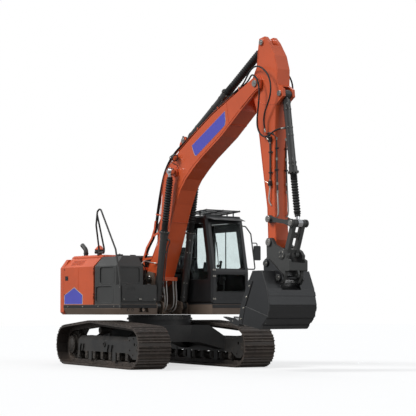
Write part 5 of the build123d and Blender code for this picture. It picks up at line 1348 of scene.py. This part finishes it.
class EXCAVATOR_OT_seat(bpy.types.Operator):
    """Seat base with its bellows, swollen cushion, back and head pad"""

    bl_idname = "excavator.seat"
    bl_label = "Operator's seat"

    def execute(self, context):
        base = bmesh.new()
        place_box(base, (-0.120, SEAT_Y - 0.150, 1.176), (0.220, SEAT_Y + 0.150, 1.230))
        place_spin(base, [(0.010 * k, 0.135 if k % 2 else 0.115) for k in range(20)] + [(0.20, 0)],
                   (0.05, SEAT_Y, 1.225), (0, 0, 1), 24)
        place_box(base, (-0.150, SEAT_Y - 0.200, 1.425), (0.290, SEAT_Y + 0.200, 1.475))
        place_slab(base, [(-0.200, SEAT_Y - 0.150, 1.470), (-0.200, SEAT_Y + 0.150, 1.470),
                          (-0.315, SEAT_Y + 0.130, 2.150), (-0.315, SEAT_Y - 0.130, 2.150)], 0.020)
        finish_piece(base, "seat_base", "house", "plastic", 35, 0.004, stands_for=("operator_seat",))
        lean = Matrix.Translation((-0.175, SEAT_Y, 1.800)) @ Matrix.Rotation(math.radians(-10.5), 4, "Y")
        for name, place, size in (
            ("seat_cushion", Matrix.Translation((0.065, SEAT_Y, 1.525)), (0.470, 0.450, 0.085)),
            ("seat_back", lean, (0.085, 0.420, 0.460)),
            ("seat_head_pad", lean @ Matrix.Translation((0, 0, 0.335)), (0.070, 0.250, 0.130)),
        ):
            self.pad(name, place, size)
        return {"FINISHED"}

    def pad(self, name, place, size):
        """A box with a drawn-in rim, swollen by cloth under pressure, with a sewn line round it."""
        mesh = bmesh.new()
        bmesh.ops.create_cube(mesh, size=1, matrix=Matrix.Diagonal((*size, 1)))
        bmesh.ops.bevel(mesh, geom=mesh.edges[:], offset=min(size) * 0.3, segments=3, profile=0.5,
                        affect="EDGES", material=-1)
        data = bpy.data.meshes.new(name)
        mesh.to_mesh(data)
        mesh.free()
        rough = new_object(name, data)
        remesh = rough.modifiers.new("Voxels", "REMESH")
        remesh.mode, remesh.voxel_size = "VOXEL", 0.006
        rest = bpy.data.meshes.new_from_object(rough.evaluated_get(bpy.context.evaluated_depsgraph_get()))
        rough.modifiers.clear()
        rough.data = rest
        swollen = self.swell(rough)
        for vert, moved in zip(rest.vertices, swollen):
            change = moved - vert.co
            vert.co += change * min(1.0, PAD_SWELL / max(change.length, 1e-6))
        thin = min(range(3), key=lambda axis: size[axis])
        for vert in rest.vertices:
            edge = max(abs(vert.co[axis]) / size[axis] for axis in range(3) if axis != thin)
            vert.co[thin] -= 0.006 * math.copysign(math.exp(-((edge - 0.36) / 0.018) ** 2), vert.co[thin])
        rest.transform(place)
        rest.shade_smooth()
        rest.materials.clear()
        rest.materials.append(FINISH["cloth"])
        rough.modifiers.new("Smooth", "SUBSURF").levels = 1
        rough.modifiers["Smooth"].render_levels = 1
        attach(rough, "house")

    def swell(self, rough):
        scene = bpy.context.scene
        cloth = rough.modifiers.new("Cloth", "CLOTH")
        cloth.settings.use_pressure = True
        cloth.settings.uniform_pressure_force = 4
        cloth.settings.effector_weights.gravity = 0
        for step in range(1, 21):
            scene.frame_set(step)
        shown = rough.evaluated_get(bpy.context.evaluated_depsgraph_get())
        places = [vert.co.copy() for vert in shown.data.vertices]
        rough.modifiers.clear()
        scene.frame_set(1)
        return places


# ---------------------------------------------------------------- house
UP = (0, 0, 1)
FILLER, EXHAUST, CLEANER = (-0.060, -0.860), (-1.240, -0.800), (-0.790, -0.800)
DECK_LAMPS = ((0.468, -0.710, 0.036), (0.480, -0.955, 0.020), (0.480, -1.050, 0.020))     # x, y, radius
# x and z at both corners of the tank's recessed panels, and how far their corners are cut
TANK_PANELS = ((-0.205, 1.480, 0.250, 1.785, 0.035), (-0.340, 1.140, 0.220, 1.440, 0.045))
# x and y at both corners, then z: the deck fronts, and the strips that the cab stands on
LEDGES = (
    (0.474, -1.185, 0.487, -0.425, 1.048, 1.104), (1.054, 0.395, 1.066, 1.262, 1.048, 1.104),
    (-0.600, 0.400, -0.588, 1.250, 1.105, 1.134), (1.020, 0.400, 1.032, 1.250, 1.105, 1.134),
    (-0.595, 0.400, 1.025, 0.412, 1.105, 1.134), (-0.595, 1.238, 1.025, 1.250, 1.105, 1.134),
)


class EXCAVATOR_OT_house(bpy.types.Operator):
    """Ledges, decals, latches, lamps, rails' clamps, filler cap and bolts of the house"""

    bl_idname = "excavator.house"
    bl_label = "House trim"

    def execute(self, context):
        fittings = context.scene.excavator_fittings
        bolt = fittings.bolt
        ledge, dark, bright, lens = (bmesh.new() for _ in range(4))
        for side, y, x1 in ((-1, -HOUSE_SIDE, 0.482), (1, CAB_LEFT, 1.055)):
            place_box(ledge, (-1.400, y - 0.006, 1.048), (x1, y + 0.006, 1.104))
            for x in (-1.25, -0.75, -0.25, 0.25):
                place_bolt(bright, (x, y + side * 0.006, 1.076), (0, side, 0), bolt * 0.8)
        for x0, y0, x1, y1, z0, z1 in LEDGES:
            place_box(ledge, (x0, y0, z0), (x1, y1, z1))
        for x, y, radius in DECK_LAMPS:
            for mesh, profile in (
                (dark, ((-0.012, radius + 0.004), (0.006, radius + 0.004), (0.006, radius - 0.004),
                        (0, radius - 0.005))),
                (lens, ((0.001, radius - 0.004), (0.005, radius * 0.6), (0.007, 0))),
            ):
                place_spin(mesh, profile, (x, y, 1.015), (1, 0, 0), 28)
        x, y = FILLER
        place_spin(dark, ((0, 0.066), (0.010, 0.066), (0.012, 0.060), (0.012, 0)), (x, y, 2.006), UP, 36)
        place_bar(bright, (x, y, 2.016), (x, y, 2.032), 0.014, 16)
        for dx in (-0.085, 0.085):
            place_bolt(bright, (x + dx, y, 1.975), UP, bolt * 0.8)
        self.rail_fittings(dark, bright)
        finish_piece(ledge, "house_ledges", "house", "plastic", 30, 0.003)
        finish_piece(dark, "house_fittings", "house", "plastic", 30)
        finish_piece(bright, "house_bolts", "house", "plated", 30)
        finish_piece(lens, "deck_lamp_lenses", "house", "lens", 60)
        self.panels(bolt)
        rims = [closed(on_wall((
            (x0 + cut, z0), (x1 - cut, z0), (x1, z0 + cut), (x1, z1 - cut),
            (x1 - cut, z1), (x0 + cut, z1), (x0, z1 - cut), (x0, z0 + cut)), -HOUSE_SIDE))
            for x0, z0, x1, z1, cut in TANK_PANELS]
        place_pipes("tank_panel_rims", rims, 0.004, "house", "hood", order=2)
        beads = [[(-0.365, side * y, 1.112), (0.400, side * y, 1.112)]
                 for side in (-1, 1) for y in (0.195, 0.228)]
        place_pipes("deck_weld_beads", beads, fittings.weld * 1.2, "house", "skirt", order=2)
        return {"FINISHED"}

    def rail_fittings(self, dark, bright):
        """Flanges under the handrail, the exhaust and the cleaner, with their clamps and bolts."""
        for x, y in ((-0.560, -0.970), (-0.545, -0.975)):
            place_spin(dark, ((0, 0.036), (0.006, 0.036), (0.010, 0.022)), (x, y, 2.019), UP, 24)
        for z in (1.075, 1.415):
            for dz in (-0.010, 0.010):
                place_bolt(bright, (0.460, -1.222, z + dz), (0, -1, 0), 0.006)
        x, y = EXHAUST
        for z, profile in ((2.075, ((-0.012, 0.043), (-0.012, 0.047), (0.012, 0.047), (0.012, 0.043))),
                           (2.020, ((0, 0.075), (0.008, 0.075), (0.010, 0.050), (0.010, 0.043)))):
            place_spin(dark, profile, (x, y, z), UP, 32)
        place_bolt(bright, (x, y - 0.049, 2.075), (0, -1, 0), 0.008)
        for a, b in around(4, 0.060, 0.5):
            place_bolt(bright, (x + a, y + b, 2.028), UP, 0.007)
        x, y = CLEANER
        place_spin(dark, ((0, 0.060), (0.006, 0.060), (0.012, 0.046)), (x, y, 2.020), UP, 32)
        for (a, b), (c, d) in zip(around(24, 0.088), around(24, 0.091)):
            place_bar(dark, (x + a, y + b, 2.066), (x + c, y + d, 2.076), 0.005, 6)
        place_bolt(bright, (x, y - 0.095, 2.089), (0, -1, 0), 0.008)

    def panels(self, bolt):
        """Decals, latches, seams and slot linings, which ride on their own doors and lids."""
        for name, side, body in (("right", -1, "right_side_door"), ("left", 1, "left_side_door")):
            y = side * HOUSE_SIDE
            border, film, dark, seam = (bmesh.new() for _ in range(4))
            place_label(border, grown(SIDE_DECAL, 0.016), y, side)
            place_label(film, SIDE_DECAL, y + side * LABEL_OUT, side)
            place_box(dark, (-1.350, y - 0.004, 1.560), (-1.250, y + 0.004, 1.640))
            place_box(dark, (-1.335, y + side * 0.002 - 0.006, 1.580),
                      (-1.265, y + side * 0.002 + 0.006, 1.600))
            for x in (-1.390, -0.430 if side < 0 else -0.720):
                for z in (1.300, 1.760):
                    place_bolt(dark, (x + 0.02, y, z), (0, side, 0), bolt * 0.7)
            lining = Matrix.Rotation(math.radians(-side * 44.1), 3, "X")
            place_box(dark, (-1.235, side * 1.078 - 0.050, 1.855), (-0.835, side * 1.078 + 0.050, 1.861),
                      lining)
            place_box(seam, (-0.912, y - 0.003, 1.150), (-0.906, y + 0.003, 1.790))
            finish_piece(border, f"{name}_decal_border", body, "pale")
            finish_piece(film, f"{name}_decal_film", body, "decal")
            finish_piece(dark, f"{name}_door_latch", body, "plastic", 30, 0.0015)
            finish_piece(seam, f"{name}_door_crease", body, "orange", 30, 0.001)
        dark = bmesh.new()
        for y in (-0.300, 0.620):
            place_box(dark, (-0.440, y - 0.06, 2.016), (-0.415, y + 0.06, 2.034))
        finish_piece(dark, "hood_handles", "engine_hood", "plastic", 30, 0.005)
        dark = bmesh.new()
        place_box(dark, (0.503, -0.835, 1.195), (0.509, -0.775, 1.215))
        for y in (-1.150, -0.480):
            place_bolt(dark, (0.492, y, 1.200), (1, 0, 0), bolt * 0.8)
        finish_piece(dark, "tool_lid_latch", "tool_box_lid", "plated", 30, 0.001)
        cap = bmesh.new()
        place_spin(cap, ((0, 0.090), (0.005, 0.092), (0.075, 0.030), (0.080, 0.018), (0.080, 0)),
                   (*CLEANER, 2.128), UP, 40)
        finish_piece(cap, "cleaner_cap", "house", "orange", 30)


# ---------------------------------------------------------------- coupler and bucket
BUCKET_BEADS = (           # y, then x, z along the bead: side plate's edge, inside it, heel plate and ear
    (0.5155, ((3.150, 1.495), (3.240, 1.640), (3.468, 1.640), (3.586, 1.358), (3.643, 1.096), (3.604, 0.918),
              (3.402, 0.704), (2.885, 0.790))),
    (0.491, ((2.90, 0.815), (3.39, 0.728), (3.585, 0.926), (3.622, 1.096), (3.566, 1.350), (3.455, 1.620))),
    (0.521, ((3.030, 1.075), (3.614, 0.905))),
    (0.245, ((3.225, 1.652), (3.470, 1.652), (3.560, 1.440))),
)
HEEL_PLATE = ((3.030, 1.070), (3.610, 0.903), (3.402, 0.704), (2.900, 0.788), (2.945, 0.990))
BUCKET_PINS = (((3.262, 0, 1.774), 0.262, 0.056), ((3.570, 0, 1.535), 0.262, 0.056))
CUTTER_BOLTS = ((3.165, 1.400), (3.085, 1.220), (3.005, 1.040), (2.940, 0.860))


class EXCAVATOR_OT_bucket(bpy.types.Operator):
    """Weld beads, tooth pins, cutter bolts and pin heads of the bucket and the coupler"""

    bl_idname = "excavator.bucket"
    bl_label = "Bucket trim"

    def execute(self, context):
        fittings = context.scene.excavator_fittings
        routes, bolts, caps, wear = [], bmesh.new(), bmesh.new(), bmesh.new()
        for side in (-1, 1):
            routes += [on_wall(line, side * y) for y, line in BUCKET_BEADS]
            place_slab(wear, on_wall(HEEL_PLATE, side * 0.518), 0.006)
            for x, z in CUTTER_BOLTS:
                place_bolt(bolts, (x, side * 0.527, z), (0, side, 0), fittings.bolt * 1.1)
        # the beads take the lighter hood grey, not the bucket's black: a painted highlight along them
        place_pipes("bucket_weld_beads", routes, fittings.weld, "bucket", "hood", order=2)
        for i in range(5):
            y = (i - 2) * 0.225
            for side in (-1, 1):
                place_spin(bolts, ((0, 0.016), (0.005, 0.014), (0.005, 0.006), (0.002, 0.004), (0.002, 0)),
                           (2.700, y + side * 0.050, 0.828), (0, side, 0), 16)
        place_pin_caps(caps, bolts, BUCKET_PINS, fittings.bolt)
        for side in (-1, 1):
            place_spin(caps, ((0, 0.078), (0.012, 0.078), (0.016, 0.070), (0.016, 0.030),
                              (0.010, 0.026), (0.010, 0)), (3.600, side * 0.205, 1.910), (0, side, 0), 36)
            for a, b in around(4, 0.052, 0.5):
                place_bolt(bolts, (3.600 + a, side * 0.220, 1.910 + b), (0, side, 0), 0.009)
            place_bar(caps, (3.665, side * 0.100, 1.760), (3.720, side * 0.100, 1.690), 0.024, 16)
        place_bar(caps, (3.440, 0, 1.830), (3.600, 0, 1.740), 0.034, 24)
        place_bar(bolts, (3.590, 0, 1.746), (3.680, 0, 1.695), 0.018, 20)
        finish_piece(wear, "bucket_heel_plates", "bucket", "bucket", 30, 0.002)
        finish_piece(bolts, "bucket_bolts", "bucket", "plated", 30)
        finish_piece(caps, "coupler_pin_heads", "bucket", "grey", 35, 0.002)
        return {"FINISHED"}


# ---------------------------------------------------------------- panel and registration
OPERATORS = (
    EXCAVATOR_OT_finishes, EXCAVATOR_OT_stage, EXCAVATOR_OT_bellows, EXCAVATOR_OT_hoses,
    EXCAVATOR_OT_tracks, EXCAVATOR_OT_cylinders, EXCAVATOR_OT_boom, EXCAVATOR_OT_arm, EXCAVATOR_OT_valves,
    EXCAVATOR_OT_cab, EXCAVATOR_OT_seat, EXCAVATOR_OT_house, EXCAVATOR_OT_bucket,
)


class EXCAVATOR_PT_dressing(bpy.types.Panel):
    """The dressing steps in the order they run"""

    bl_idname = "EXCAVATOR_PT_dressing"
    bl_label = "Excavator dressing"
    bl_space_type = "VIEW_3D"
    bl_region_type = "UI"
    bl_category = "Excavator"

    def draw(self, context):
        for settings in (context.scene.excavator_paint, context.scene.excavator_fittings):
            box = self.layout.box()
            for name in settings.__annotations__:
                box.prop(settings, name)
        for operator in OPERATORS:
            self.layout.operator(operator.bl_idname)


CLASSES = (ExcavatorPaint, ExcavatorFittings, *OPERATORS, EXCAVATOR_PT_dressing)


def register():
    for cls in CLASSES:
        bpy.utils.register_class(cls)
    bpy.types.Scene.excavator_paint = bpy.props.PointerProperty(type=ExcavatorPaint)
    bpy.types.Scene.excavator_fittings = bpy.props.PointerProperty(type=ExcavatorFittings)


def unregister():
    del bpy.types.Scene.excavator_fittings
    del bpy.types.Scene.excavator_paint
    for cls in reversed(CLASSES):
        bpy.utils.unregister_class(cls)


def main():
    register()
    for operator in OPERATORS:
        group, name = operator.bl_idname.split(".")
        getattr(getattr(bpy.ops, group), name)()


if __name__ == "__main__":
    main()
